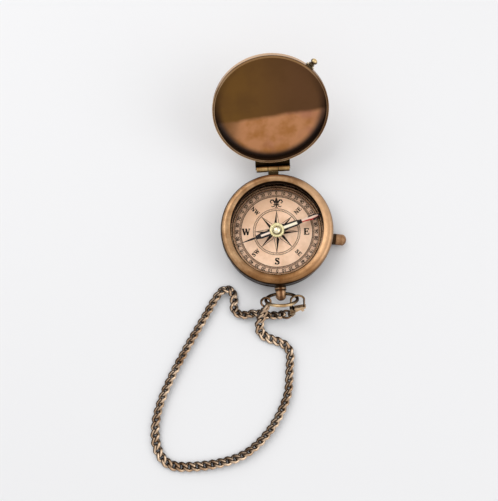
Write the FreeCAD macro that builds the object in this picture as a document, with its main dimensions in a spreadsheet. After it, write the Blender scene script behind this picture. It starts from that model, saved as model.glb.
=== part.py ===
"""Pocket compass with a hinged lid, a needle that can be lifted off its pivot,
a bow on a stem, a spring clasp and a chain of twisted curb links.

Millimetres. The origin is the centre of the case's back face. +Z points out of
the dial, +Y towards the lid hinge and +X to the dial's east.
"""
import FreeCAD, Part
import Sketcher
import math
import os
from types import SimpleNamespace
from FreeCAD import Placement, Rotation, Vector

# Driving dimensions, in millimetres and degrees
SIZES = {
    # Case
    "case_radius": 22.1,
    "case_floor": 1.0,
    "case_edge_round": 1.6,
    "case_wall": 1.9,
    "spigot_step": 0.9,
    "spigot_height": 1.6,
    "dial_room": 4.8,
    "joint_gap": 0.05,
    # Bezel and glass
    "bezel_overhang": 0.4,
    "bezel_lip_width": 2.15,
    "bezel_edge_round": 2.0,
    "bezel_straight": 2.15,
    "bezel_inner_drop": 0.6,
    "gasket_width": 1.1,
    "gasket_thickness": 0.25,
    "glass_thickness": 0.9,
    "glass_edge_gap": 0.1,
    # Dial and the rings round it
    "dial_lever_gap": 0.83,
    "dial_thickness": 0.5,
    "dial_edge_gap": 0.2,
    "dial_hole_radius": 1.6,
    "dial_ring_width": 3.2,
    "dial_ring_step": 0.6,
    "dial_ring_first_step": 1.0,
    "dial_ring_rise": 0.6,
    "support_width": 4.2,
    # Pivot post and lifting collar
    "post_flange_radius": 2.2,
    "post_flange_height": 0.6,
    "post_shoulder_radius": 1.2,
    "shoulder_under_lever": 1.24,
    "post_radius": 0.6,
    "post_point_length": 0.8,
    "post_glass_gap": 0.95,
    "collar_clearance": 0.06,
    "collar_radius": 1.2,
    "collar_bottom_gap": 0.02,
    "collar_top_gap": 0.1,
    "collar_flange_radius": 2.0,
    "collar_flange_height": 0.3,
    "collar_flange_gap": 0.08,
    # Needle
    "needle_angle": 17.0,
    "needle_hang": 0.85,
    "needle_thickness": 0.3,
    "needle_end_gap": 1.0,
    "south_arm_less": 3.3,
    "north_half_width": 1.15,
    "south_half_width": 0.42,
    "arm_bar": 0.38,
    "arm_bulge": 1.2,
    "knot_half_width": 0.8,
    "knot_length": 0.7,
    "hub_radius": 2.95,
    "hub_disc": 0.3,
    "hub_dome_radius": 1.6,
    "hub_dome_height": 0.8,
    "hub_bore": 0.95,
    "jewel_height": 0.3,
    "jewel_gap": 0.05,
    "jewel_cup_radius": 0.7,
    "jewel_cup_depth": 0.18,
    # Needle lock
    "lock_angle": -10.0,
    "lock_floor_gap": 0.9,
    "lock_travel": 1.6,
    "bush_radius": 2.25,
    "bush_tenon_radius": 1.6,
    "bush_length": 1.2,
    "spindle_radius": 0.8,
    "spindle_clearance": 0.05,
    "spindle_neck_radius": 0.5,
    "spindle_neck_length": 2.2,
    "spindle_slope_length": 0.6,
    "spindle_end_radius": 1.1,
    "spindle_end_length": 0.55,
    "support_hole_radius": 1.3,
    "knob_length": 5.05,
    "knob_dome": 1.4,
    "knob_socket": 3.65,
    "lever_tilt": 1.671,
    "lever_gap": 0.02,
    "lever_thickness": 0.35,
    "bracket_support_gap": 2.4,
    "lever_contact": 5.9,
    "lever_tip_bar": 0.7,
    "lever_tip_half_width": 2.3,
    "lever_slot_start": 3.1,
    "lever_slot_half_width": 1.2,
    "lever_eye_radius": 1.35,
    "lever_neck_half_width": 0.8,
    "lever_barrel_radius": 0.8,
    "lever_barrel_width": 2.2,
    "lever_pin_radius": 0.4,
    "pin_clearance": 0.04,
    "pin_seat_clearance": 0.01,
    "bracket_length": 3.2,
    "bracket_ear": 0.8,
    "bracket_ear_gap": 0.15,
    "bracket_plate": 0.5,
    "bracket_over_pin": 0.805,
    # Lid
    "lid_open_angle": 136.0,
    "lid_overhang": 0.25,
    "lid_wall": 0.9,
    "lid_rim_drop": 0.5,
    "lid_side": 2.2,
    "lid_edge_round": 1.6,
    "lid_dome": 0.6,
    "lid_depth": 3.3,
    "lid_plate_thickness": 0.4,
    "lid_plate_gap": 0.05,
    "lid_knob_angle": -47.0,
    "lid_knob_offset": 1.9,
    "lid_knob_collar": 1.75,
    "lid_knob_collar_length": 0.55,
    "lid_knob_neck": 0.9,
    "lid_knob_second": 1.2,
    "lid_knob_waist": 0.75,
    "lid_knob_head": 1.35,
    "lid_knob_length": 3.65,
    # Hinge
    "hinge_out": 2.3,
    "hinge_rise": 1.85,
    "knuckle_radius": 1.1,
    "knuckle_middle": 4.1,
    "knuckle_gap": 0.08,
    "knuckle_end": 6.65,
    "hinge_pin_radius": 0.5,
    "tab_thickness": 1.2,
    "tab_drop": 0.9,
    "leaf_side": 0.35,
    "leaf_thickness": 0.9,
    "leaf_rise": 0.05,
    "leaf_web": 0.8,
    "leaf_overhang": 0.4,
    "leaf_relief": 0.15,
    # Stem and bow
    "stem_bezel_gap": 0.1,
    "stem_tenon_radius": 1.5,
    "stem_collar_radius": 2.35,
    "stem_collar_ring": 0.8,
    "stem_groove": 0.25,
    "stem_groove_depth": 0.3,
    "stem_radius": 2.1,
    "stem_shank": 2.65,
    "stem_dome": 1.6,
    "stem_hole_out": 1.45,
    "stem_hole_radius": 0.95,
    "bow_ring_radius": 6.22,
    "bow_wire_radius": 0.65,
    "bow_seat": 0.18,
    "bow_angle": 61.5,
    # Clasp
    "clasp_angle": 57.0,
    "clasp_hook_radius": 2.6,
    "clasp_wire_radius": 0.4,
    "clasp_hang_gap": 0.8,
    "gate_gap": 0.05,
    "clasp_left_leg": 4.7,
    "clasp_right_leg": 3.5,
    "clasp_half_thickness": 1.3,
    "clasp_body_length": 3.7,
    "clasp_body_left": 0.5,
    "clasp_body_right": 1.7,
    "gate_half_thickness": 0.75,
    "gate_slot_gap": 0.1,
    "gate_pivot_in": 1.05,
    "gate_pivot_down": 7.0,
    "gate_pin_radius": 0.3,
    "gate_pin_clearance": 0.03,
    "gate_end_radius": 0.45,
    "gate_height": 2.6,
    "gate_overreach": 0.7,
    "gate_tip_height": 0.7,
    "tail_eye_down": 8.8,
    "tail_eye_radius": 1.3,
    "tail_eye_hole": 0.65,
    "tail_eye_thickness": 0.9,
    "jump_ring_radius": 1.85,
    "jump_ring_wire_radius": 0.45,
    "end_ring_gap": 0.03,
    # Chain
    "link_half_length": 2.1,
    "link_half_width": 1.4,
    "link_wire_radius": 0.5,
    "link_pitch": 2.9,
    "link_tip_twist": 50.0,
    "link_side_twist": 45.0,
    "chain_floor_gap": 0.02,
    "chain_start_roll": -64.0,
    "chain_roll_length": 16.0,
    # One overrun that serves all cuts
    "overrun": 1.0,
}

# Route of the chain's middle line, chosen by hand. Each point is X, Y from the stem's
# hole, and a share of the nearer ring's height, both above the middle line of the
# chain where it lies. First from the ring on the bow down to the table and along it,
ROUTE_FROM_BOW = (
    (-6.1, -4.9, 0.95801),
    (-7.1, -6.6, 0.62169),
    (-8.7, -9.4, 0.29556),
    (-8.7, -13.2, 0.13249),
    (-7.7, -17.4, 0.0),
    (-5.2, -21.6, 0.0),
    (0.3, -22.5, 0.0),
    (3.0, -26.4, 0.0),
    (2.4, -31.4, 0.0),
    (0.6, -38.0, 0.0),
    (-3.2, -45.8, 0.0),
    (-12.6, -56.8, 0.0),
    (-24.9, -63.7, 0.0),
    (-39.5, -65.8, 0.0),
)
# then back along the table and up to the clasp's ring.
ROUTE_TO_CLASP = (
    (-48.6, -62.9, 0.0),
    (-53.0, -55.1, 0.0),
    (-52.6, -46.1, 0.0),
    (-47.4, -35.6, 0.0),
    (-38.2, -20.3, 0.0),
    (-31.8, -8.2, 0.0),
    (-29.0, -0.6, 0.0),
    (-24.2, 4.2, 0.0),
    (-18.2, 3.2, 0.0),
    (-15.6, -2.2, 0.0),
    (-12.5, -6.8, 0.0),
    (-7.6, -8.5, 0.0),
    (-4.2, -8.6, 0.16308),
    (-1.6, -8.4, 0.55911),
    (0.45, -8.0, 1.07164),
)
ROUTE_ARC_SHARE = 0.45

# How many links hang at each end of the chain
HUNG_LINKS = 6
TAIL_LINKS = 3

DOC = FreeCAD.newDocument("PocketCompass")
SHEET = DOC.addObject("Spreadsheet::Sheet", "Sizes")
NODES = []


class Size:
    """A number together with the sheet expression that gives it."""

    def __init__(self, value, text):
        self.value = value
        self.text = text

    def __add__(self, other):
        other = as_size(other)
        return Size(self.value + other.value, f"({self.text} + {other.text})")

    def __radd__(self, other):
        return as_size(other) + self

    def __sub__(self, other):
        other = as_size(other)
        return Size(self.value - other.value, f"({self.text} - {other.text})")

    def __rsub__(self, other):
        return as_size(other) - self

    def __mul__(self, other):
        other = as_size(other)
        return Size(self.value * other.value, f"({self.text} * {other.text})")

    def __rmul__(self, other):
        return as_size(other) * self

    def __truediv__(self, other):
        other = as_size(other)
        return Size(self.value / other.value, f"({self.text} / {other.text})")

    def __neg__(self):
        return Size(-self.value, f"(0 - {self.text})")


def as_size(item):
    """Return item itself, or a plain number as a Size."""
    return item if isinstance(item, Size) else Size(float(item), str(item))


def fill_sheet():
    """Write the driving dimensions into the sheet and return them by name."""
    for row, (name, value) in enumerate(SIZES.items(), start=1):
        SHEET.set(f"A{row}", name)
        SHEET.set(f"B{row}", str(value))
        SHEET.setAlias(f"B{row}", name)
    DOC.recompute()
    return SimpleNamespace(**{name: Size(value, f"Sizes.{name}") for name, value in SIZES.items()})


S = fill_sheet()


# Working tools

def bind(item, prop, size):
    """Give a property its value and tie it to the sheet."""
    size = as_size(size)
    setattr(item, prop, size.value)
    if "Sizes." in size.text:
        item.setExpression(prop, size.text)


def move_to(item, x=0, y=0, z=0):
    """Place an item without turning it, tied to the sheet."""
    item.Placement = Placement(Vector(*(as_size(part).value for part in (x, y, z))), Rotation())
    for letter, part in zip("xyz", (x, y, z)):
        if isinstance(part, Size):
            item.setExpression(f".Placement.Base.{letter}", part.text)


def turn_to(item, x, y, z, axis, angle):
    """Place an item turned by an angle about an axis, tied to the sheet."""
    move_to(item, x, y, z)
    angle = as_size(angle)
    base = item.Placement.Base
    item.Placement = Placement(base, Rotation(axis, angle.value))
    if "Sizes." in angle.text:
        item.setExpression(".Placement.Rotation.Angle", angle.text)


def keep(item, name):
    """Name an item as one sub-part of the compass."""
    item.Label = name
    NODES.append(item)
    return item


def new_body(name):
    return DOC.addObject("PartDesign::Body", name + "_body")


def new_sketch(body, role, name):
    """Add a sketch to a body on the origin plane with this role."""
    sketch = body.newObject("Sketcher::SketchObject", name)
    plane = next(item for item in body.Origin.OriginFeatures if item.Role == role)
    sketch.AttachmentSupport = [(plane, "")]
    sketch.MapMode = "FlatFace"
    return sketch


def constrain(sketch, kind, *arguments):
    """Add a sketch constraint whose last argument is its size."""
    size = as_size(arguments[-1])
    number = sketch.addConstraint(Sketcher.Constraint(kind, *arguments[:-1], size.value))
    if "Sizes." in size.text:
        sketch.setExpression(f"Constraints[{number}]", size.text)


def arc_middle(start, end, radius):
    """Middle of the short arc from start to end whose centre lies to the left."""
    chord = end - start
    half = chord.Length / 2
    rise = radius - math.sqrt(max(radius * radius - half * half, 0.0))
    right = Vector(chord.y, -chord.x, 0).normalize()
    return (start + end) / 2 + right * rise


def draw(sketch, corners):
    """Draw a closed outline. A corner's third value is the radius of an arc to the next one."""
    points = [Vector(as_size(corner[0]).value, as_size(corner[1]).value, 0) for corner in corners]
    ends = []
    for place, corner in enumerate(corners):
        start = points[place]
        end = points[(place + 1) % len(points)]
        if len(corner) == 3:
            curve = Part.Arc(start, arc_middle(start, end, as_size(corner[2]).value), end)
        else:
            curve = Part.LineSegment(start, end)
        number = sketch.addGeometry(curve)
        first_off, last_off = (sketch.getPoint(number, mark).distanceToPoint(start) for mark in (1, 2))
        ends.append((number, 1, 2) if first_off < last_off else (number, 2, 1))
    for place, (number, first, last) in enumerate(ends):
        following = ends[(place + 1) % len(ends)]
        sketch.addConstraint(Sketcher.Constraint("Coincident", number, last, following[0], following[1]))
        constrain(sketch, "DistanceX", number, first, corners[place][0])
        constrain(sketch, "DistanceY", number, first, corners[place][1])
        if len(corners[place]) == 3:
            constrain(sketch, "Radius", number, corners[place][2])


def draw_circle(sketch, x, y, radius):
    centre = Vector(as_size(x).value, as_size(y).value, 0)
    number = sketch.addGeometry(Part.Circle(centre, Vector(0, 0, 1), as_size(radius).value))
    constrain(sketch, "Radius", number, radius)
    constrain(sketch, "DistanceX", number, 3, x)
    constrain(sketch, "DistanceY", number, 3, y)


def pad(body, sketch, length, midplane=False):
    feature = body.newObject("PartDesign::Pad", sketch.Name + "_pad")
    feature.Profile = sketch
    bind(feature, "Length", length)
    feature.Midplane = midplane
    DOC.recompute()
    return feature


def cut_through(body, sketch):
    """Cut a sketch's outline through the whole body, both ways from its plane."""
    before = body.Shape.Volume
    feature = body.newObject("PartDesign::Pocket", sketch.Name + "_cut")
    feature.Profile = sketch
    feature.Type = "ThroughAll"
    feature.Midplane = True
    DOC.recompute()
    if body.Shape.Volume >= before:
        raise RuntimeError(f"{feature.Name} cuts nothing")
    return feature


def turned(name, corners):
    """A body turned about its own Z axis. The corners are radius and height."""
    body = new_body(name)
    sketch = new_sketch(body, "XZ_Plane", name + "_profile")
    draw(sketch, corners)
    feature = body.newObject("PartDesign::Revolution", name + "_turn")
    feature.Profile = sketch
    feature.ReferenceAxis = (sketch, ["V_Axis"])
    feature.Angle = 360
    DOC.recompute()
    return body


def cylinder(name, radius, height):
    item = DOC.addObject("Part::Cylinder", name)
    bind(item, "Radius", radius)
    bind(item, "Height", height)
    return item


def box(name, length, width, height):
    item = DOC.addObject("Part::Box", name)
    bind(item, "Length", length)
    bind(item, "Width", width)
    bind(item, "Height", height)
    return item


def torus(name, radius, wire_radius):
    item = DOC.addObject("Part::Torus", name)
    bind(item, "Radius1", radius)
    bind(item, "Radius2", wire_radius)
    return item


def joined(name, items):
    item = DOC.addObject("Part::MultiFuse", name)
    item.Shapes = items
    item.Refine = True
    return item


def without(name, base, tools):
    """The base less its tools."""
    tool = tools[0] if len(tools) == 1 else joined(name + "_tools", tools)
    item = DOC.addObject("Part::Cut", name)
    item.Base = base
    item.Tool = tool
    return item


def dome_radius(half_width, rise):
    """Radius of the arc that rises this much over this half width."""
    return (half_width * half_width + rise * rise) / (2 * rise)


def sine(angle):
    return Size(math.sin(math.radians(angle.value)), f"sin({angle.text})")


def cosine(angle):
    return Size(math.cos(math.radians(angle.value)), f"cos({angle.text})")


def tangent(angle):
    return Size(math.tan(math.radians(angle.value)), f"tan({angle.text})")


# Levels and radii shared by several pieces

CAVITY_RADIUS = S.case_radius - S.case_wall
SPIGOT_RADIUS = S.case_radius - S.spigot_step
BEZEL_RADIUS = S.case_radius + S.bezel_overhang
BEZEL_BORE = SPIGOT_RADIUS + S.joint_gap
LOCK_HEIGHT = S.case_floor + S.spindle_end_radius + S.lock_floor_gap
LEVER_BOTTOM = LOCK_HEIGHT + S.spindle_neck_radius + S.lever_gap
LEVER_TOP = LEVER_BOTTOM + S.lever_thickness
LEVER_PIN_HEIGHT = LEVER_BOTTOM + S.lever_thickness / 2
POST_SHOULDER_TOP = LEVER_BOTTOM - S.shoulder_under_lever
DIAL_BOTTOM = LEVER_TOP + S.dial_lever_gap
DIAL_TOP = DIAL_BOTTOM + S.dial_thickness
SPIGOT_TOP = DIAL_TOP + S.dial_room
CASE_HEIGHT = SPIGOT_TOP - S.spigot_height
GLASS_BOTTOM = SPIGOT_TOP + S.gasket_thickness
LIP_BOTTOM = GLASS_BOTTOM + S.glass_thickness + S.joint_gap
BEZEL_BOTTOM = CASE_HEIGHT + S.joint_gap
BEZEL_CROWN = BEZEL_BOTTOM + S.bezel_straight + S.bezel_edge_round
POST_TIP = GLASS_BOTTOM - S.post_glass_gap
NEEDLE_BOTTOM = POST_TIP - S.needle_hang
NEEDLE_TOP = NEEDLE_BOTTOM + S.needle_thickness
NORTH_ARM = CAVITY_RADIUS - S.needle_end_gap
SOUTH_ARM = NORTH_ARM - S.south_arm_less
SUPPORT_INNER = CAVITY_RADIUS - S.support_width
LEVER_ARM = SUPPORT_INNER - S.bracket_length / 2 - S.bracket_support_gap
BUSH_END = S.case_radius + S.bush_length
LID_RADIUS = BEZEL_RADIUS + S.lid_overhang
LID_RIM = BEZEL_CROWN - S.lid_rim_drop
HINGE_BACK = BEZEL_RADIUS + S.hinge_out
HINGE_HEIGHT = BEZEL_BOTTOM + S.hinge_rise
LEAF_WIDTH = 2 * (S.knuckle_end + S.leaf_side)
STEM_HEIGHT = BEZEL_BOTTOM - S.stem_collar_radius - S.stem_bezel_gap


# Case, bezel and glass

def case_body():
    """The turned cup, with the holes for the stem's tenon and the lock's bush."""
    cup = turned("case_cup", [
        (0, 0),
        (S.case_radius - S.case_edge_round, 0, S.case_edge_round),
        (S.case_radius, S.case_edge_round),
        (S.case_radius, CASE_HEIGHT),
        (SPIGOT_RADIUS, CASE_HEIGHT),
        (SPIGOT_RADIUS, SPIGOT_TOP),
        (CAVITY_RADIUS, SPIGOT_TOP),
        (CAVITY_RADIUS, S.case_floor),
        (0, S.case_floor),
    ])
    stem_hole = cylinder("stem_seat", S.stem_tenon_radius, S.case_radius + S.overrun)
    turn_to(stem_hole, 0, 0, STEM_HEIGHT, Vector(1, 0, 0), 90)
    bush_hole = cylinder("bush_seat", S.bush_tenon_radius, S.case_radius + S.overrun)
    bush_hole.Placement = lock_frame(upright=False)
    return keep(without("case_with_holes", cup, [stem_hole, bush_hole]), "case_body")


def bezel_ring():
    """The ring that slips over the case's spigot and holds the glass under its lip."""
    crown_radius = BEZEL_RADIUS - S.bezel_edge_round
    lip_radius = crown_radius - S.bezel_lip_width
    return keep(turned("bezel_ring", [
        (BEZEL_BORE, BEZEL_BOTTOM),
        (BEZEL_RADIUS, BEZEL_BOTTOM),
        (BEZEL_RADIUS, BEZEL_BOTTOM + S.bezel_straight, S.bezel_edge_round),
        (crown_radius, BEZEL_CROWN, dome_radius(S.bezel_lip_width, S.bezel_inner_drop)),
        (lip_radius, BEZEL_CROWN - S.bezel_inner_drop),
        (lip_radius, LIP_BOTTOM),
        (BEZEL_BORE, LIP_BOTTOM),
    ]), "bezel_ring")


def glass_gasket():
    outer = BEZEL_BORE - S.glass_edge_gap
    return keep(turned("glass_gasket", [
        (outer - S.gasket_width, SPIGOT_TOP),
        (outer, SPIGOT_TOP),
        (outer, GLASS_BOTTOM),
        (outer - S.gasket_width, GLASS_BOTTOM),
    ]), "glass_gasket")


def glass():
    edge = BEZEL_BORE - S.glass_edge_gap
    return keep(turned("glass", [
        (0, GLASS_BOTTOM),
        (edge, GLASS_BOTTOM),
        (edge, GLASS_BOTTOM + S.glass_thickness),
        (0, GLASS_BOTTOM + S.glass_thickness),
    ]), "glass")


# Dial and the rings that hold it

def dial():
    edge = CAVITY_RADIUS - S.dial_edge_gap
    return keep(turned("dial", [
        (S.dial_hole_radius, DIAL_BOTTOM),
        (edge, DIAL_BOTTOM),
        (edge, DIAL_TOP),
        (S.dial_hole_radius, DIAL_TOP),
    ]), "dial")


def dial_ring():
    """The stepped brass ring between the dial's edge and the glass."""
    outer = CAVITY_RADIUS - S.dial_edge_gap / 2
    inner = CAVITY_RADIUS - S.dial_ring_width
    first = DIAL_TOP + S.dial_ring_first_step
    second = first + S.dial_ring_rise
    third = second + S.dial_ring_rise
    return keep(turned("dial_ring", [
        (inner, DIAL_TOP),
        (outer, DIAL_TOP),
        (outer, third),
        (inner + 2 * S.dial_ring_step, third),
        (inner + 2 * S.dial_ring_step, second),
        (inner + S.dial_ring_step, second),
        (inner + S.dial_ring_step, first),
        (inner, first),
    ]), "dial_ring")


def dial_support_ring():
    """The ring under the dial, pierced for the lock's spindle."""
    outer = CAVITY_RADIUS - S.joint_gap
    ring = turned("support_blank", [
        (SUPPORT_INNER, S.case_floor),
        (outer, S.case_floor),
        (outer, DIAL_BOTTOM),
        (SUPPORT_INNER, DIAL_BOTTOM),
    ])
    hole = cylinder("support_hole", S.support_hole_radius, S.case_radius)
    hole.Placement = lock_frame(upright=False)
    return keep(without("support_with_hole", ring, [hole]), "dial_support_ring")


# Pivot, lifting collar and needle

def pivot_post():
    """The pointed post that carries the needle's jewel."""
    return keep(turned("pivot_post", [
        (0, S.case_floor),
        (S.post_flange_radius, S.case_floor),
        (S.post_flange_radius, S.case_floor + S.post_flange_height),
        (S.post_shoulder_radius, S.case_floor + S.post_flange_height),
        (S.post_shoulder_radius, POST_SHOULDER_TOP),
        (S.post_radius, POST_SHOULDER_TOP),
        (S.post_radius, POST_TIP - S.post_point_length),
        (0, POST_TIP),
    ]), "pivot_post")


def lift_collar():
    """The tube on the post that lifts the needle off its point."""
    bore = S.post_radius + S.collar_clearance
    flange_bottom = LEVER_TOP + S.collar_flange_gap
    flange_top = flange_bottom + S.collar_flange_height
    bottom = POST_SHOULDER_TOP + S.collar_bottom_gap
    top = NEEDLE_BOTTOM - S.collar_top_gap
    return keep(turned("lift_collar", [
        (bore, bottom),
        (S.collar_radius, bottom),
        (S.collar_radius, flange_bottom),
        (S.collar_flange_radius, flange_bottom),
        (S.collar_flange_radius, flange_top),
        (S.collar_radius, flange_top),
        (S.collar_radius, top),
        (bore, top),
    ]), "lift_collar")


# Shares of an arm's length: where its eye starts, is first wide, is last wide and ends.
# The blade's widest place as a share of what is left beyond the knot, its half width
# at its root as a share of the widest, and the middle block's share of the hub's radius
EYE_SHARES = {"start": 0.17, "wide": 0.24, "still_wide": 0.42, "end": 0.52}
NORTH_WIDEST_SHARE = 0.66
SOUTH_WIDEST_SHARE = 0.2
ARM_BLADE_ROOT_SHARE = 0.45
ARM_BLOCK_SHARE = 0.6


def arm_edge(arm, half_width, widest_share, side):
    """One edge of a needle arm, from the hub out to its tip. side is 1 or -1."""
    eye_end = arm * EYE_SHARES["end"]
    knot_end = eye_end + S.knot_length
    return [
        (arm * EYE_SHARES["wide"], side * S.arm_bulge),
        (arm * EYE_SHARES["still_wide"], side * S.arm_bulge),
        (eye_end, side * S.knot_half_width),
        (knot_end, side * S.knot_half_width),
        (knot_end, side * half_width * ARM_BLADE_ROOT_SHARE),
        (knot_end + (arm - knot_end) * widest_share, side * half_width),
    ]


def needle_blade():
    """The flat needle: two arms with an open eye, a knot and a blade or spike each."""
    body = new_body("needle_blade")
    outline = new_sketch(body, "XY_Plane", "needle_outline")
    root = S.hub_radius * ARM_BLOCK_SHARE
    north = (NORTH_ARM, S.north_half_width, NORTH_WIDEST_SHARE)
    south = (SOUTH_ARM, S.south_half_width, SOUTH_WIDEST_SHARE)
    north_up = arm_edge(*north, 1)
    north_down = arm_edge(*north, -1)
    south_up = [(-x, y) for x, y in arm_edge(*south, 1)]
    south_down = [(-x, y) for x, y in arm_edge(*south, -1)]
    corners = [(root, -root)] + north_down + [(NORTH_ARM, 0)] + north_up[::-1]
    corners += [(root, root), (-root, root)]
    corners += south_up + [(-SOUTH_ARM, 0)] + south_down[::-1] + [(-root, -root)]
    draw(outline, corners)
    pad(body, outline, S.needle_thickness)
    holes = new_sketch(body, "XY_Plane", "needle_holes")
    draw_circle(holes, 0, 0, S.hub_bore)
    for arm, way in ((NORTH_ARM, 1), (SOUTH_ARM, -1)):
        inner = S.arm_bulge - S.arm_bar
        draw(holes, [
            (way * arm * EYE_SHARES["start"], 0),
            (way * arm * EYE_SHARES["wide"], -way * inner),
            (way * arm * EYE_SHARES["still_wide"], -way * inner),
            (way * (arm * EYE_SHARES["end"] - S.arm_bar), 0),
            (way * arm * EYE_SHARES["still_wide"], way * inner),
            (way * arm * EYE_SHARES["wide"], way * inner),
        ])
    cut_through(body, holes)
    turn_to(body, 0, 0, NEEDLE_BOTTOM, Vector(0, 0, 1), S.needle_angle)
    return keep(body, "needle_blade")


def needle_hub():
    disc_top = NEEDLE_TOP + S.hub_disc
    cavity_top = POST_TIP - S.jewel_cup_depth + S.jewel_height
    return keep(turned("needle_hub", [
        (S.hub_bore, NEEDLE_TOP),
        (S.hub_radius, NEEDLE_TOP),
        (S.hub_radius, disc_top),
        (S.hub_dome_radius, disc_top, dome_radius(S.hub_dome_radius, S.hub_dome_height)),
        (0, disc_top + S.hub_dome_height),
        (0, cavity_top),
        (S.hub_bore, cavity_top),
    ]), "needle_hub")


def needle_jewel():
    """The cup that rests on the post's point."""
    bottom = POST_TIP - S.jewel_cup_depth
    return keep(turned("needle_jewel", [
        (0, bottom + S.jewel_cup_depth + S.jewel_gap / 2),
        (S.jewel_cup_radius, bottom),
        (S.hub_bore - S.jewel_gap, bottom),
        (S.hub_bore - S.jewel_gap, bottom + S.jewel_height),
        (0, bottom + S.jewel_height),
    ]), "needle_jewel")


# Needle lock: knob, spindle, lever and its bracket

def lock_frame(upright=True, out=0.0):
    """Frame of the lock: X along the knob's axis. Not upright, Z lies along that axis."""
    turn = Rotation(Vector(0, 0, 1), S.lock_angle.value)
    if upright:
        return Placement(turn.multVec(Vector(out, 0, 0)), turn)
    return Placement(Vector(0, 0, LOCK_HEIGHT.value), turn * Rotation(Vector(0, 1, 0), 90))


def lock_bush():
    bore = S.spindle_radius + S.spindle_clearance
    item = turned("lock_bush", [
        (bore, CAVITY_RADIUS),
        (S.bush_tenon_radius, CAVITY_RADIUS),
        (S.bush_tenon_radius, S.case_radius),
        (S.bush_radius, S.case_radius),
        (S.bush_radius, BUSH_END),
        (bore, BUSH_END),
    ])
    item.Placement = lock_frame(upright=False)
    return keep(item, "lock_bush")


def lock_knob():
    start = BUSH_END + S.joint_gap
    item = turned("lock_knob", [
        (S.spindle_radius, start),
        (S.bush_radius, start),
        (S.bush_radius, start + S.knob_length - S.knob_dome, dome_radius(S.bush_radius, S.knob_dome)),
        (0, start + S.knob_length),
        (0, start + S.knob_socket),
        (S.spindle_radius, start + S.knob_socket),
    ])
    item.Placement = lock_frame(upright=False)
    return keep(item, "lock_knob")


def lever_rise():
    """How far the lever's tip rises when the knob is pulled."""
    return (LEVER_ARM + S.lever_contact) * tangent(S.lever_tilt)


def lock_spindle():
    """The spindle, whose cone lifts the lever's tip as the knob is pulled."""
    swell = S.spindle_end_radius - S.spindle_neck_radius
    cone_start = S.lever_contact - swell * S.lock_travel / lever_rise()
    neck_end = S.lever_contact + S.spindle_neck_length
    end = BUSH_END + S.joint_gap + S.knob_socket
    item = turned("lock_spindle", [
        (0, cone_start - S.spindle_end_length),
        (S.spindle_end_radius, cone_start - S.spindle_end_length),
        (S.spindle_end_radius, cone_start),
        (S.spindle_neck_radius, S.lever_contact),
        (S.spindle_neck_radius, neck_end),
        (S.spindle_radius, neck_end + S.spindle_slope_length),
        (S.spindle_radius, end),
        (0, end),
    ])
    item.Placement = lock_frame(upright=False)
    return keep(item, "lock_spindle")


def arrest_lever():
    """The lever: a barrel on its pin, an eye round the collar and a slotted tip on the spindle."""
    body = new_body("arrest_lever")
    plan = new_sketch(body, "XY_Plane", "lever_plan")
    tip = S.lever_contact + S.lever_tip_bar
    draw(plan, [
        (-LEVER_ARM, -S.lever_neck_half_width),
        (-S.lever_tip_half_width, -S.lever_tip_half_width),
        (tip, -S.lever_tip_half_width),
        (tip, S.lever_tip_half_width),
        (-S.lever_tip_half_width, S.lever_tip_half_width),
        (-LEVER_ARM, S.lever_neck_half_width),
    ])
    pad(body, plan, S.lever_thickness)
    barrel = new_sketch(body, "XZ_Plane", "lever_barrel")
    draw_circle(barrel, -LEVER_ARM, S.lever_thickness / 2, S.lever_barrel_radius)
    pad(body, barrel, S.lever_barrel_width, midplane=True)
    openings = new_sketch(body, "XY_Plane", "lever_openings")
    draw_circle(openings, 0, 0, S.lever_eye_radius)
    draw(openings, [
        (S.lever_slot_start, -S.lever_slot_half_width),
        (S.lever_contact, -S.lever_slot_half_width),
        (S.lever_contact, S.lever_slot_half_width),
        (S.lever_slot_start, S.lever_slot_half_width),
    ])
    cut_through(body, openings)
    bore = new_sketch(body, "XZ_Plane", "lever_bore")
    draw_circle(bore, -LEVER_ARM, S.lever_thickness / 2, S.lever_pin_radius + S.pin_clearance)
    cut_through(body, bore)
    frame = lock_frame()
    body.Placement = Placement(Vector(0, 0, LEVER_BOTTOM.value), frame.Rotation)
    return keep(body, "arrest_lever")


def lever_bracket():
    """The U bracket on the case's floor that carries the lever's pin."""
    body = new_body("lever_bracket")
    section = new_sketch(body, "YZ_Plane", "bracket_section")
    inner = S.lever_barrel_width / 2 + S.bracket_ear_gap
    outer = inner + S.bracket_ear
    plate_top = S.case_floor + S.bracket_plate
    top = LEVER_PIN_HEIGHT + S.bracket_over_pin
    draw(section, [
        (-outer, S.case_floor),
        (outer, S.case_floor),
        (outer, top),
        (inner, top),
        (inner, plate_top),
        (-inner, plate_top),
        (-inner, top),
        (-outer, top),
    ])
    pad(body, section, S.bracket_length, midplane=True)
    hole = new_sketch(body, "XZ_Plane", "bracket_hole")
    draw_circle(hole, 0, LEVER_PIN_HEIGHT, S.lever_pin_radius + S.pin_seat_clearance)
    cut_through(body, hole)
    body.Placement = lock_frame(out=-LEVER_ARM.value)
    return keep(body, "lever_bracket")


def lever_pin():
    length = S.lever_barrel_width + 2 * (S.bracket_ear_gap + S.bracket_ear)
    item = cylinder("lever_pin_round", S.lever_pin_radius, length)
    frame = lock_frame(out=-LEVER_ARM.value)
    local = Placement(Vector(0, length.value / 2, LEVER_PIN_HEIGHT.value), Rotation(Vector(1, 0, 0), 90))
    item.Placement = frame * local
    return keep(item, "lever_pin")


# Lid, modelled shut and then opened about the hinge

def opened(item):
    """Swing a piece of the lid, modelled shut, to its open place."""
    hinge = Vector(0, HINGE_BACK.value, HINGE_HEIGHT.value)
    swing = Rotation(Vector(1, 0, 0), -S.lid_open_angle.value)
    item.Placement = Placement(hinge - swing.multVec(hinge), swing) * item.Placement
    return item


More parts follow.
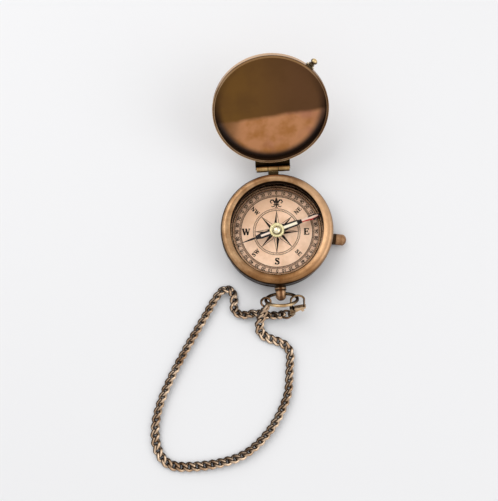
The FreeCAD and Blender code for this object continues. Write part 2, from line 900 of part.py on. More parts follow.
def lid_shell():
    """The lid's cup, with a rounded edge and a slightly domed back."""
    side_top = LID_RIM + S.lid_side
    edge_top = side_top + S.lid_edge_round
    flat = LID_RADIUS - S.lid_edge_round
    inner = LID_RADIUS - S.lid_wall
    ceiling = LID_RIM + S.lid_depth
    item = turned("lid_shell", [
        (inner, LID_RIM),
        (LID_RADIUS, LID_RIM),
        (LID_RADIUS, side_top, S.lid_edge_round),
        (flat, edge_top, dome_radius(flat, S.lid_dome)),
        (0, edge_top + S.lid_dome),
        (0, ceiling),
        (inner, ceiling),
    ])
    return keep(opened(item), "lid_shell")


def lid_plate():
    """The bright disc that lines the lid."""
    ceiling = LID_RIM + S.lid_depth
    edge = LID_RADIUS - S.lid_wall - S.lid_plate_gap
    item = turned("lid_plate", [
        (0, ceiling - S.lid_plate_thickness),
        (edge, ceiling - S.lid_plate_thickness),
        (edge, ceiling),
        (0, ceiling),
    ])
    return keep(opened(item), "lid_plate")


# Shares of the lid knob's length at which its collars, waist and head begin
LID_KNOB_SHARES = {"neck": 0.19, "second": 0.28, "waist": 0.4, "head": 0.47, "widest": 0.67}


def lid_knob():
    """The turned knob on the lid's edge: a collar, a smaller collar and a round head."""
    base = LID_RADIUS
    length = S.lid_knob_length
    at = {name: base + length * share for name, share in LID_KNOB_SHARES.items()}
    crown = length * (1 - LID_KNOB_SHARES["widest"])
    item = turned("lid_knob", [
        (0, base),
        (S.lid_knob_collar, base),
        (S.lid_knob_collar, base + S.lid_knob_collar_length),
        (S.lid_knob_neck, at["neck"]),
        (S.lid_knob_neck, at["second"]),
        (S.lid_knob_second, at["second"]),
        (S.lid_knob_second, at["waist"]),
        (S.lid_knob_waist, at["waist"]),
        (S.lid_knob_waist, at["head"], S.lid_knob_head),
        (S.lid_knob_head, at["widest"], dome_radius(S.lid_knob_head, crown)),
        (0, base + length),
    ])
    turn = Rotation(Vector(0, 0, 1), S.lid_knob_angle.value) * Rotation(Vector(0, 1, 0), 90)
    item.Placement = Placement(Vector(0, 0, LID_RIM.value + S.lid_knob_offset.value), turn)
    return keep(opened(item), "lid_knob")


# Hinge

def along_hinge(name, radius, length, start):
    """A round along the hinge's axis, from start in X."""
    item = cylinder(name, radius, length)
    turn_to(item, start, HINGE_BACK, HINGE_HEIGHT, Vector(0, 1, 0), 90)
    return item


def hinge_body_leaf():
    """The case's tab and middle knuckle."""
    half = S.knuckle_middle / 2
    tab = box("tab_blank", S.knuckle_middle, HINGE_BACK - CAVITY_RADIUS, S.tab_thickness)
    move_to(tab, -half, CAVITY_RADIUS, HINGE_HEIGHT - S.tab_drop)
    knuckle = along_hinge("middle_knuckle", S.knuckle_radius, S.knuckle_middle, -half)
    bezel = cylinder("bezel_outside", BEZEL_RADIUS, SPIGOT_TOP * 2)
    bore = along_hinge("body_bore", S.hinge_pin_radius + S.pin_seat_clearance,
                       S.knuckle_middle + 2 * S.overrun, -half - S.overrun)
    leaf = joined("body_leaf_blank", [tab, knuckle])
    return keep(without("body_leaf_cut", leaf, [bezel, bore]), "hinge_body_leaf")


def hinge_lid_leaf():
    """The lid's leaf, with a knuckle at each end."""
    bottom = LID_RIM + S.leaf_rise
    half = LEAF_WIDTH / 2
    back = HINGE_BACK + S.leaf_overhang
    plate = box("leaf_plate", LEAF_WIDTH, back - CAVITY_RADIUS, S.leaf_thickness)
    move_to(plate, -half, CAVITY_RADIUS, bottom)
    web = box("leaf_web_plate", LEAF_WIDTH, S.leaf_web, bottom - HINGE_HEIGHT + S.leaf_thickness)
    move_to(web, -half, back - S.leaf_web, HINGE_HEIGHT)
    start = S.knuckle_middle / 2 + S.knuckle_gap
    length = S.knuckle_end - start
    right = along_hinge("right_knuckle", S.knuckle_radius, length, start)
    left = along_hinge("left_knuckle", S.knuckle_radius, length, -S.knuckle_end)
    lid = cylinder("lid_outside", LID_RADIUS, LID_RIM * 2)
    relief = along_hinge("middle_relief", S.knuckle_radius + S.leaf_relief, 2 * start, -start)
    bore = along_hinge("lid_bore", S.hinge_pin_radius + S.pin_clearance, LEAF_WIDTH, -half)
    leaf = joined("lid_leaf_blank", [plate, web, right, left])
    return keep(opened(without("lid_leaf_cut", leaf, [lid, relief, bore])), "hinge_lid_leaf")


def hinge_pin():
    return keep(along_hinge("hinge_pin_round", S.hinge_pin_radius, 2 * S.knuckle_end, -S.knuckle_end),
                "hinge_pin")


# Stem and bow

STEM_SHANK_START = S.case_radius + 2 * S.stem_collar_ring + S.stem_groove
STEM_HOLE = STEM_SHANK_START + S.stem_hole_out


def stem():
    """The stem: a tenon in the case wall, a collar of two rings and a drilled round end."""
    first_ring = S.case_radius + S.stem_collar_ring
    groove_end = first_ring + S.stem_groove
    groove_radius = S.stem_collar_radius - S.stem_groove_depth
    shank_end = STEM_SHANK_START + S.stem_shank
    item = turned("stem", [
        (0, CAVITY_RADIUS),
        (S.stem_tenon_radius, CAVITY_RADIUS),
        (S.stem_tenon_radius, S.case_radius),
        (S.stem_collar_radius, S.case_radius),
        (S.stem_collar_radius, first_ring),
        (groove_radius, first_ring),
        (groove_radius, groove_end),
        (S.stem_collar_radius, groove_end),
        (S.stem_collar_radius, STEM_SHANK_START),
        (S.stem_radius, STEM_SHANK_START),
        (S.stem_radius, shank_end, dome_radius(S.stem_radius, S.stem_dome)),
        (0, shank_end + S.stem_dome),
    ])
    hole = new_sketch(item, "YZ_Plane", "stem_cross_hole")
    draw_circle(hole, 0, STEM_HOLE, S.stem_hole_radius)
    cut_through(item, hole)
    turn_to(item, 0, 0, STEM_HEIGHT, Vector(1, 0, 0), 90)
    return keep(item, "stem")


def bow_reach():
    """Distance from the stem's hole to the middle of the bow."""
    return S.bow_ring_radius - S.bow_seat


def bow_centre():
    """The bow's middle, in Y and Z."""
    return (-STEM_HOLE - bow_reach() * cosine(S.bow_angle),
            STEM_HEIGHT + bow_reach() * sine(S.bow_angle))


def bow_ring():
    item = torus("bow_round", S.bow_ring_radius, S.bow_wire_radius)
    y, z = bow_centre()
    turn_to(item, 0, y, z, Vector(-1, 0, 0), S.bow_angle)
    return keep(item, "bow_ring")


# Clasp, drawn with its origin where it hangs on the bow and Y up along it

def clasp_frame():
    y, z = bow_centre()
    at = Vector(S.bow_ring_radius.value, y.value, z.value)
    return Placement(at, Rotation(Vector(1, 0, 0), S.clasp_angle.value))


HOOK_DOWN = S.clasp_hook_radius - S.clasp_wire_radius - S.bow_wire_radius - S.clasp_hang_gap
GATE_PIVOT = (-S.clasp_hook_radius + S.gate_pivot_in, -HOOK_DOWN - S.gate_pivot_down)
TAIL_EYE = (-S.clasp_hook_radius, -HOOK_DOWN - S.tail_eye_down)


def clasp_plate(name, corners, half_thickness):
    """A flat piece of the clasp, centred on its plane."""
    body = new_body(name)
    sketch = new_sketch(body, "XY_Plane", name + "_outline")
    draw(sketch, corners)
    pad(body, sketch, 2 * half_thickness, midplane=True)
    return body


def through_clasp(name, centre, radius, half_length):
    """A round across the clasp."""
    item = cylinder(name, radius, 2 * half_length)
    move_to(item, centre[0], centre[1], -half_length)
    return item


def clasp_leg(name, x, length):
    """A straight leg of the hook, from its bend down."""
    item = cylinder(name, S.clasp_wire_radius, length)
    turn_to(item, x, -HOOK_DOWN, 0, Vector(1, 0, 0), 90)
    return item


def clasp_body():
    """The hook, its slotted body and the tail's eye."""
    bend = torus("hook_bend", S.clasp_hook_radius, S.clasp_wire_radius)
    bend.Angle3 = 180
    move_to(bend, 0, -HOOK_DOWN, 0)
    left = clasp_leg("hook_left", -S.clasp_hook_radius, S.clasp_left_leg)
    right = clasp_leg("hook_right", S.clasp_hook_radius, S.clasp_right_leg)
    tip = DOC.addObject("Part::Sphere", "hook_tip")
    bind(tip, "Radius", S.clasp_wire_radius)
    move_to(tip, S.clasp_hook_radius, -HOOK_DOWN - S.clasp_right_leg, 0)
    top = -HOOK_DOWN - S.clasp_left_leg + S.clasp_wire_radius
    low = GATE_PIVOT[1] - S.gate_end_radius - S.clasp_wire_radius / 2
    outer = -S.clasp_hook_radius - S.clasp_body_left
    cheek = -S.clasp_hook_radius + S.clasp_body_right
    block = clasp_plate("clasp_block", [
        (outer, low),
        (cheek, low),
        (cheek, (top + low) / 2),
        (-S.clasp_hook_radius + S.clasp_wire_radius, top),
        (outer, top),
    ], S.clasp_half_thickness)
    eye = through_clasp("tail_eye_disc", TAIL_EYE, S.tail_eye_radius, S.tail_eye_thickness / 2)
    slot_half = S.gate_half_thickness + S.gate_slot_gap
    slot = box("gate_slot", S.clasp_body_right + S.overrun, S.clasp_body_length + 2 * S.overrun,
               2 * slot_half)
    slot_start = -S.clasp_hook_radius + S.clasp_wire_radius + S.gate_slot_gap
    move_to(slot, slot_start, low - S.overrun, -slot_half)
    pin_hole = through_clasp("gate_pin_hole", GATE_PIVOT, S.gate_pin_radius + S.pin_seat_clearance,
                             S.clasp_half_thickness + S.overrun)
    eye_hole = through_clasp("tail_eye_opening", TAIL_EYE, S.tail_eye_hole,
                             S.clasp_half_thickness + S.overrun)
    solid = joined("clasp_blank", [bend, left, right, tip, block, eye])
    item = without("clasp_cut", solid, [slot, pin_hole, eye_hole])
    item.Placement = clasp_frame()
    return keep(item, "clasp_body")


# Shares of the gate's reach, from its pivot to the hook, for its tab
GATE_TAB_SHARES = {"root": 0.66, "heel": 0.84, "toe": 1.02, "throat": 0.88, "rise": 0.33}


def clasp_gate():
    """The sprung wedge that shuts the hook, with its thumb tab."""
    x, y = GATE_PIVOT
    reach = 2 * S.clasp_hook_radius - S.gate_pivot_in
    tip = x + reach + S.gate_overreach
    top = -HOOK_DOWN - S.clasp_right_leg - S.clasp_wire_radius - S.gate_gap
    at = {name: x + reach * share for name, share in GATE_TAB_SHARES.items()}
    body = clasp_plate("clasp_gate", [
        (x, y - S.gate_end_radius),
        (at["root"], y + S.gate_height / 2),
        (at["heel"], y + S.gate_end_radius / 2),
        (at["toe"], y + S.gate_height * GATE_TAB_SHARES["rise"]),
        (at["throat"], y + S.gate_height * GATE_TAB_SHARES["root"]),
        (tip, top - S.gate_tip_height),
        (tip, top),
        (at["throat"] - S.gate_end_radius, top),
        (x + S.gate_end_radius, top - S.gate_end_radius),
        (x - S.gate_end_radius, y, S.gate_end_radius),
    ], S.gate_half_thickness)
    bore = new_sketch(body, "XY_Plane", "gate_bore")
    draw_circle(bore, x, y, S.gate_pin_radius + S.gate_pin_clearance)
    cut_through(body, bore)
    body.Placement = clasp_frame()
    return keep(body, "clasp_gate")


def clasp_pin():
    item = cylinder("gate_pin", S.gate_pin_radius, 2 * S.clasp_half_thickness)
    x, y = GATE_PIVOT
    start = Vector(x.value, y.value, -S.clasp_half_thickness.value)
    item.Placement = clasp_frame() * Placement(start, Rotation())
    return keep(item, "clasp_pin")


def jump_ring_place():
    """Placement of the ring through the clasp's tail."""
    centre = Vector(TAIL_EYE[0].value - S.jump_ring_radius.value, TAIL_EYE[1].value, 0)
    return clasp_frame() * Placement(centre, Rotation(Vector(1, 0, 0), 90))


def clasp_jump_ring():
    """The ring that joins the clasp's tail to the chain."""
    item = torus("jump_ring_round", S.jump_ring_radius, S.jump_ring_wire_radius)
    item.Placement = jump_ring_place()
    return keep(item, "clasp_jump_ring")


def end_ring_place():
    """Placement of the ring that hangs on the bow's other side."""
    y, z = bow_centre()
    turn = Rotation(Vector(1, 0, 0), 90 - S.bow_angle.value)
    hang = S.jump_ring_radius.value - S.jump_ring_wire_radius.value - S.bow_wire_radius.value
    down = turn.multVec(Vector(0, -1, 0)) * (hang - S.end_ring_gap.value)
    return Placement(Vector(-S.bow_ring_radius.value, y.value, z.value) + down, turn)


def chain_end_ring():
    """The ring that joins the chain to the bow's other side."""
    item = torus("end_ring_round", S.jump_ring_radius, S.jump_ring_wire_radius)
    item.Placement = end_ring_place()
    return keep(item, "chain_end_ring")


# Chain of twisted curb links

def biarc(start, start_way, end, end_way):
    """The two arcs of a smooth curve between two points with given directions."""
    span = end - start
    dot = start_way.dot(end_way)
    square = 2 * (dot - 1)
    linear = -2 * span.dot(start_way + end_way)
    root = math.sqrt(linear * linear - 4 * square * span.dot(span))
    reach = max((-linear + root) / (2 * square), (-linear - root) / (2 * square))
    first = start + start_way * reach
    last = end - end_way * reach
    middle = (first + last) / 2
    middle_way = (last - first).normalize()
    return [arc(start, start_way, middle), arc(middle, middle_way, end)]


def arc(start, way, end):
    """The arc that leaves start along way and ends at end."""
    span = end - start
    normal = way.cross(span).normalize()
    inward = normal.cross(way)
    radius = span.dot(span) / (2 * span.dot(inward))
    centre = start + inward * radius
    to_middle = ((start + end) / 2 - centre).normalize()
    return Part.Arc(start, centre + to_middle * radius, end)


def curb_link():
    """One link: round wire along eight arcs, four like quarters, twisted to lie flat."""
    half_length = S.link_half_length.value
    half_width = S.link_half_width.value
    tip_twist = math.radians(S.link_tip_twist.value)
    side_twist = math.radians(S.link_side_twist.value)
    tip = Vector(half_length, 0, 0)
    tip_way = Vector(0, math.cos(tip_twist), math.sin(tip_twist))
    side = Vector(0, half_width, 0)
    side_way = Vector(-math.cos(side_twist), 0, -math.sin(side_twist))
    path = Part.Wire([curve.toShape() for curve in biarc(tip, tip_way, side, side_way)])
    profile = Part.Wire([Part.makeCircle(S.link_wire_radius.value, tip, tip_way)])
    quarter = path.makePipeShell([profile], True, False)
    others = []
    for axis in (Vector(1, 0, 0), Vector(0, 1, 0), Vector(0, 0, 1)):
        other = quarter.copy()
        other.Placement = Placement(Vector(), Rotation(axis, 180))
        others.append(other)
    return quarter.multiFuse(others).Solids[0]


def lying_height():
    """Height of the chain's middle line where it lies on the table."""
    bounds = curb_link().optimalBoundingBox(False, False)
    return bounds.ZLength / 2 + S.chain_floor_gap.value


def route_curves(points):
    """Straight runs joined by tangent arcs, as a list of curves in order."""
    pieces = []
    start = points[0]
    for before, corner, after in zip(points, points[1:], points[2:]):
        into = (corner - before).normalize()
        out = (after - corner).normalize()
        turn = into.getAngle(out)
        reach = ROUTE_ARC_SHARE * min((corner - before).Length, (after - corner).Length)
        radius = reach / math.tan(turn / 2)
        arc_start = corner - into * reach
        arc_end = corner + out * reach
        inward = (out - into).normalize()
        centre = corner + inward * math.hypot(radius, reach)
        pieces.append(Part.LineSegment(start, arc_start))
        pieces.append(Part.Arc(arc_start, centre - inward * radius, arc_end))
        start = arc_end
    pieces.append(Part.LineSegment(start, points[-1]))
    return pieces


def walk(pieces, step):
    """Points at even steps along the curves."""
    lengths = [piece.length() for piece in pieces]
    count = round(sum(lengths) / step)
    even = sum(lengths) / count
    points = []
    for number in range(count + 1):
        left = number * even
        index = 0
        while index < len(lengths) - 1 and left > lengths[index]:
            left -= lengths[index]
            index += 1
        piece = pieces[index]
        at = piece.parameterAtDistance(min(left, lengths[index]), piece.FirstParameter)
        points.append(piece.value(at))
    return points


def link_places():
    """A placement for each link: in the middle of its step, flat or rolled at the hung end."""
    floor = lying_height()
    route = []
    for part, ring in ((ROUTE_FROM_BOW, end_ring_place()), (ROUTE_TO_CLASP, jump_ring_place())):
        for x, y, share in part:
            route.append(Vector(x, y - STEM_HOLE.value, floor + share * (ring.Base.z - floor)))
    points = walk(route_curves(route), S.link_pitch.value)
    places = []
    for number, (start, end) in enumerate(zip(points, points[1:])):
        along = (end - start).normalize()
        side = Vector(0, 0, 1).cross(along).normalize()
        up = along.cross(side)
        hung = number * S.link_pitch.value / S.chain_roll_length.value
        roll = S.chain_start_roll.value * max(0.0, 1 - hung)
        turn = Rotation(along, roll) * Rotation(along, side, up, "XZY")
        places.append(Placement((start + end) / 2, turn))
    return places


def link_group(name, link, places):
    """Links of one stretch, each a solid of its own."""
    item = DOC.addObject("Part::Feature", name)
    item.Shape = Part.makeCompound([link.transformed(place.toMatrix()) for place in places])
    item.Placement = Placement()
    return keep(item, name)


def chain():
    """The chain in three stretches: hung from the bow, along the table, and up to the clasp."""
    link = curb_link()
    places = link_places()
    link_group("chain_bow_links", link, places[:HUNG_LINKS])
    link_group("chain_links", link, places[HUNG_LINKS:-TAIL_LINKS])
    link_group("chain_tail_links", link, places[-TAIL_LINKS:])


def check_document():
    """Stop if any object failed or any sub-part is empty or not valid."""
    DOC.recompute()
    for item in DOC.Objects:
        if "Invalid" in item.State or "Error" in item.State:
            raise RuntimeError(f"{item.Name} failed: {item.State}")
    for node in NODES:
        if node.Shape.isNull() or not node.Shape.isValid() or not node.Shape.Solids:
            raise RuntimeError(f"{node.Label} has no valid solid")


def main():
    for build in (case_body, bezel_ring, glass_gasket, glass, dial, dial_ring, dial_support_ring,
                  pivot_post, lift_collar, needle_blade, needle_hub, needle_jewel,
                  lock_bush, lock_knob, lock_spindle, arrest_lever, lever_bracket, lever_pin,
                  lid_shell, lid_plate, lid_knob, hinge_body_leaf, hinge_lid_leaf, hinge_pin,
                  stem, bow_ring, clasp_body, clasp_gate, clasp_pin, clasp_jump_ring,
                  chain_end_ring, chain):
        build()
    check_document()
    os.makedirs("parts", exist_ok=True)
    for node in NODES:
        node.Shape.exportStep(f"parts/{node.Label}.step")
        bounds = node.Shape.BoundBox
        print(f"{node.Label}: {len(node.Shape.Solids)} solids, {node.Shape.Volume:.2f} mm3, "
              f"z {bounds.ZMin:.2f} to {bounds.ZMax:.2f}")


main()
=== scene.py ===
"""Looks of the pocket compass: camera, chain, metals, dial print, needle paint,
glass and soft studio light. Everything is in metres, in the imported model's frame.
"""
import bpy
import bmesh
import math
from mathutils import Matrix, Vector


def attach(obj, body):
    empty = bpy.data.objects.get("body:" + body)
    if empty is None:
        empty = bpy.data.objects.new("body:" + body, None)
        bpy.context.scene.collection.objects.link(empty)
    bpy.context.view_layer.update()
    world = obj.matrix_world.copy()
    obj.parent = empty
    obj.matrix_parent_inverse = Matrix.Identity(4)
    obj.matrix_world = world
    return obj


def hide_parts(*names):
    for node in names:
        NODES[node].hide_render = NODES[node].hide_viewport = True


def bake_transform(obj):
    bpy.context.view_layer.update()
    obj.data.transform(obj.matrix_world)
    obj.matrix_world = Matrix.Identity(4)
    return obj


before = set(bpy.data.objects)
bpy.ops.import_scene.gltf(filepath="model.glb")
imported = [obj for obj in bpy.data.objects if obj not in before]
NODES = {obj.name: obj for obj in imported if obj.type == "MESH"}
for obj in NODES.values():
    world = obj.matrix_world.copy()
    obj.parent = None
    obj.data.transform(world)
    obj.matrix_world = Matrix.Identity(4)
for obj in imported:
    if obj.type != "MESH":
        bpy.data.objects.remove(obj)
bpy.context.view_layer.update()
MM = 0.001

# Camera, fitted to the photograph: its scale is in pixels per millimetre at the aim
IMAGE_SIZE = (498, 501)
CAMERA_DISTANCE = 350 * MM
CAMERA_ELEVATION = math.radians(80.5)
CAMERA_ROLL = math.radians(3.4)
CAMERA_SCALE_PX = 2.51
AIM = Vector((0, 0, 10.6)) * MM
AIM_PX = (277.0, 229.2)
SENSOR_MM = 36.0
CLIP_START = 10 * MM


def make_camera():
    """The camera that sees the aim point at its own pixel of the photograph."""
    focal_px = CAMERA_SCALE_PX * CAMERA_DISTANCE / MM
    right0 = Vector((1, 0, 0))
    up0 = Vector((0, math.sin(CAMERA_ELEVATION), math.cos(CAMERA_ELEVATION)))
    ahead = Vector((0, math.cos(CAMERA_ELEVATION), -math.sin(CAMERA_ELEVATION)))
    right = math.cos(CAMERA_ROLL) * right0 - math.sin(CAMERA_ROLL) * up0
    up = math.sin(CAMERA_ROLL) * right0 + math.cos(CAMERA_ROLL) * up0
    metres_per_px = CAMERA_DISTANCE / focal_px
    place = AIM - CAMERA_DISTANCE * ahead
    place -= (AIM_PX[0] - IMAGE_SIZE[0] / 2) * metres_per_px * right
    place += (AIM_PX[1] - IMAGE_SIZE[1] / 2) * metres_per_px * up
    data = bpy.data.cameras.new("camera")
    data.sensor_width = SENSOR_MM
    data.lens = SENSOR_MM * focal_px / max(IMAGE_SIZE)
    data.clip_start = CLIP_START
    camera = bpy.data.objects.new("camera", data)
    turn = Matrix((right, up, -ahead)).transposed()
    camera.matrix_world = Matrix.Translation(place) @ turn.to_4x4()
    bpy.context.scene.collection.objects.link(camera)
    bpy.context.scene.camera = camera


make_camera()

# Chain: the route's points in millimetres, heights above where its middle line lies.
# It follows the photograph a little closer than the solid links can.
LYING_HEIGHT = 1.1525
# A link that starts less than this above the lying height is set down on the table
TABLE_REACH = 0.4
ROUTE_RESOLUTION = 12
CHAIN_ROUTE = (
    (-6.1, -30.3, 9.4),
    (-7.1, -32.0, 6.1),
    (-8.6, -34.6, 2.9),
    (-9.6, -37.6, 1.2),
    (-9.4, -40.2, 0.0),
    (-6.8, -42.2, 0.0),
    (-3.0, -43.6, 0.0),
    (0.8, -45.2, 0.0),
    (2.7, -48.2, 0.0),
    (1.9, -53.5, 0.0),
    (1.3, -58.5, 0.0),
    (0.9, -63.8, 0.0),
    (-1.6, -69.6, 0.0),
    (-5.4, -76.2, 0.0),
    (-11.0, -82.4, 0.0),
    (-18.2, -87.8, 0.0),
    (-27.5, -90.2, 0.0),
    (-39.0, -91.0, 0.0),
    (-48.4, -90.2, 0.0),
    (-52.6, -84.0, 0.0),
    (-53.2, -75.5, 0.0),
    (-50.8, -66.0, 0.0),
    (-45.4, -55.2, 0.0),
    (-37.4, -42.0, 0.0),
    (-31.4, -33.2, 0.0),
    (-25.8, -24.2, 0.0),
    (-22.4, -20.9, 0.0),
    (-18.6, -22.4, 0.0),
    (-18.9, -27.2, 0.0),
    (-19.5, -31.2, 0.0),
    (-15.4, -33.2, 0.0),
    (-10.8, -31.6, 0.0),
    (-6.8, -33.1, 0.1),
    (-3.6, -33.5, 0.5),
    (-1.4, -33.5, 1.2),
    (0.5, -33.4, 2.3),
)
# Number of links along the chain
LINK_COUNT = 72
# A link's half length and half width, the wire's slope at its tips and at its sides,
# the wire's radius, and how far the wire keeps its way round each bend. Then the steps
# along a quarter of a link, and how finely its wire is rounded.
LINK_HALF = (2.12 * MM, 1.36 * MM)
LINK_TWIST = (math.radians(50), math.radians(45))
LINK_WIRE = 0.66 * MM
LINK_EASE = 1.9 * MM
LINK_STEPS = 9
WIRE_RESOLUTION = 4
# How far the links lie over on their side: share of the chain's length, degrees
LINK_ROLLS = (
    (0.0, -64), (0.05, -15), (0.1, 30), (0.16, 44), (0.34, 42), (0.42, 18),
    (0.48, 0), (0.53, -12), (0.6, -40), (0.84, -44), (0.92, -38), (1.0, -36),
)


def add_object(name, data):
    """Put a mesh, curve or text into the scene."""
    item = bpy.data.objects.new(name, data)
    bpy.context.scene.collection.objects.link(item)
    return item


def curve_mesh(data):
    """The mesh of a curve or text, whose curve is then removed."""
    holder = add_object("curve_holder", data)
    bpy.context.view_layer.update()
    mesh = bpy.data.meshes.new_from_object(holder)
    bpy.data.objects.remove(holder)
    bpy.data.curves.remove(data)
    return mesh


def route_line():
    """Points along the smooth spline that has the route's points as its controls."""
    data = bpy.data.curves.new("chain_route", "CURVE")
    data.dimensions = "3D"
    data.resolution_u = ROUTE_RESOLUTION
    spline = data.splines.new("NURBS")
    spline.points.add(len(CHAIN_ROUTE) - 1)
    for point, (x, y, z) in zip(spline.points, CHAIN_ROUTE):
        point.co = (x * MM, y * MM, (z + LYING_HEIGHT) * MM, 1)
    spline.order_u = 3
    spline.use_endpoint_u = True
    mesh = curve_mesh(data)
    line = [v.co.copy() for v in mesh.vertices]
    bpy.data.meshes.remove(mesh)
    return line


def link_mesh():
    """One twisted curb link: a quarter of its wire's line, turned into the other three."""
    tip, side = Vector((LINK_HALF[0], 0, 0)), Vector((0, LINK_HALF[1], 0))
    tip_way = Vector((0, math.cos(LINK_TWIST[0]), math.sin(LINK_TWIST[0])))
    side_way = Vector((-math.cos(LINK_TWIST[1]), 0, -math.sin(LINK_TWIST[1])))
    quarter = []
    for step in range(LINK_STEPS):
        s = step / LINK_STEPS
        cube, square = s ** 3, s ** 2
        quarter.append(
            (2 * cube - 3 * square + 1) * tip + (cube - 2 * square + s) * LINK_EASE * tip_way
            + (3 * square - 2 * cube) * side + (cube - square) * LINK_EASE * side_way
        )
    turned = [Vector((-p.x, p.y, -p.z)) for p in [side] + quarter[:0:-1]]
    half = quarter + turned
    line = half + [Vector((-p.x, -p.y, p.z)) for p in half]
    data = bpy.data.curves.new("link_line", "CURVE")
    data.dimensions = "3D"
    data.bevel_depth = LINK_WIRE
    data.bevel_resolution = WIRE_RESOLUTION
    spline = data.splines.new("POLY")
    spline.points.add(len(line) - 1)
    for point, place in zip(spline.points, line):
        point.co = (*place, 1)
    spline.use_cyclic_u = True
    return curve_mesh(data)


def even_places(line, count):
    """count + 1 points at even steps along a line."""
    lengths = [(b - a).length for a, b in zip(line, line[1:])]
    step = sum(lengths) / count
    places, index, passed = [line[0]], 0, 0.0
    for number in range(1, count):
        goal = number * step
        while passed + lengths[index] < goal:
            passed += lengths[index]
            index += 1
        share = (goal - passed) / lengths[index]
        places.append(line[index].lerp(line[index + 1], share))
    return places + [line[-1]]


def link_roll(share):
    """How far a link lies over, at a share of the chain's length."""
    for (low, roll), (high, next_roll) in zip(LINK_ROLLS, LINK_ROLLS[1:]):
        if share <= high:
            return math.radians(roll + (next_roll - roll) * (share - low) / (high - low))
    return math.radians(LINK_ROLLS[-1][1])


def make_chain():
    """All links as one piece, laid along the route from the table up to the bow."""
    line = route_line()
    link = link_mesh()
    places = even_places(line, LINK_COUNT)
    build = bmesh.new()
    for number, (start, end) in enumerate(zip(places, places[1:])):
        along = (end - start).normalized()
        side = Vector((0, 0, 1)).cross(along).normalized()
        up = along.cross(side)
        roll = Matrix.Rotation(link_roll((number + 0.5) / LINK_COUNT), 3, "X")
        place = Matrix((along, side, up)).transposed().to_4x4() @ roll.to_4x4()
        place.translation = (start + end) / 2
        before = len(build.verts)
        build.from_mesh(link)
        build.verts.ensure_lookup_table()
        verts = build.verts[before:]
        bmesh.ops.transform(build, matrix=place, verts=verts)
        if start.z < (LYING_HEIGHT + TABLE_REACH) * MM:
            lowest = min(v.co.z for v in verts)
            bmesh.ops.translate(build, vec=(0, 0, -lowest), verts=verts)
    mesh = bpy.data.meshes.new("curb_chain")
    build.to_mesh(mesh)
    build.free()
    bpy.data.meshes.remove(link)
    mesh.shade_smooth()
    piece = add_object("curb_chain", mesh)
    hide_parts("chain_bow_links", "chain_links", "chain_tail_links")
    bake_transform(piece)
    return piece


chain = make_chain()


class Nodes:
    """A tree's nodes, added one call at a time."""

    def __init__(self, tree):
        self.tree = tree

    def add(self, kind, inputs=None, **settings):
        node = self.tree.nodes.new("ShaderNode" + kind)
        for key, value in settings.items():
            setattr(node, key, value)
        for key, value in (inputs or {}).items():
            self.join(node.inputs[key], value)
        return node

    def join(self, socket, value):
        if isinstance(value, bpy.types.NodeSocket):
            self.tree.links.new(value, socket)
        elif hasattr(value, "__len__") and len(value) == 3 and socket.type == "RGBA":
            socket.default_value = (*value, 1)
        else:
            socket.default_value = value

    def calc(self, operation, a, b=0.0, c=0.0):
        return self.add("Math", {0: a, 1: b, 2: c}, operation=operation).outputs[0]

    def times(self, a, b):
        return self.calc("MULTIPLY", a, b)

    def span(self, value, low, high, at_low=0.0, at_high=1.0):
        """A smooth step of the value from one level to another."""
        ends = {"From Min": low, "From Max": high, "To Min": at_low, "To Max": at_high}
        node = self.add("MapRange", {"Value": value, **ends}, interpolation_type="SMOOTHSTEP")
        return node.outputs[0]

    def part(self, at):
        """The x, y and z of a place."""
        return self.add("SeparateXYZ", {"Vector": at}).outputs


# Half the width in millimetres over which a painted limit fades
SOFT_EDGE = 0.08


class Graph(Nodes):
    """A material with its shader. Its places are in metres, in the model's frame."""

    def __init__(self, name):
        self.material = bpy.data.materials.new(name)
        self.material.use_nodes = True
        super().__init__(self.material.node_tree)
        self.tree.nodes.clear()
        self.shader = self.add("BsdfPrincipled")
        self.output = self.add("OutputMaterial", {"Surface": self.shader.outputs[0]})
        self.place = self.add("TexCoord").outputs["Object"]

    def set(self, name, value):
        self.join(self.shader.inputs[name], value)

    def above(self, value, limit):
        """1 above a limit in millimetres and 0 below it, with a soft edge."""
        return self.span(value, (limit - SOFT_EDGE) * MM, (limit + SOFT_EDGE) * MM)

    def below(self, value, limit):
        """1 below a limit in millimetres and 0 above it, with a soft edge."""
        return self.span(value, (limit + SOFT_EDGE) * MM, (limit - SOFT_EDGE) * MM)

    def mix(self, share, a, b, mode="MIX"):
        node = self.add("Mix", data_type="RGBA", blend_type=mode)
        self.join(node.inputs[0], share)
        self.join(node.inputs[6], a)
        self.join(node.inputs[7], b)
        return node.outputs[2]

    def noise(self, scale, detail=2.0, roughness=0.5, at=None):
        inputs = {"Vector": at or self.place, "Scale": scale}
        inputs.update({"Detail": detail, "Roughness": roughness})
        return self.add("TexNoise", inputs).outputs[0]

    def dot(self, a, b):
        node = self.add("VectorMath", {0: a, 1: b}, operation="DOT_PRODUCT")
        return node.outputs["Value"]

    def local(self, origin, turn):
        """The place as seen from a turned frame."""
        inputs = {"Vector": self.place, "Location": origin, "Rotation": turn}
        return self.add("Mapping", inputs, vector_type="TEXTURE").outputs[0]

    def profile(self, at):
        """Distance from the frame's axis and height along it."""
        x, y, z = self.part(at)
        square = self.calc("MULTIPLY_ADD", y, y, self.times(x, x))
        return self.calc("SQRT", square), z

    def bump(self, height, strength, distance):
        inputs = {"Height": height, "Strength": strength, "Distance": distance}
        self.set("Normal", self.add("Bump", inputs).outputs[0])


def srgb(red, green, blue):
    """A colour as seen on screen, from 0 to 255, as the shader wants it."""
    def linear(value):
        value /= 255
        return value / 12.92 if value <= 0.04045 else ((value + 0.055) / 1.055) ** 2.4
    return tuple(linear(v) for v in (red, green, blue))


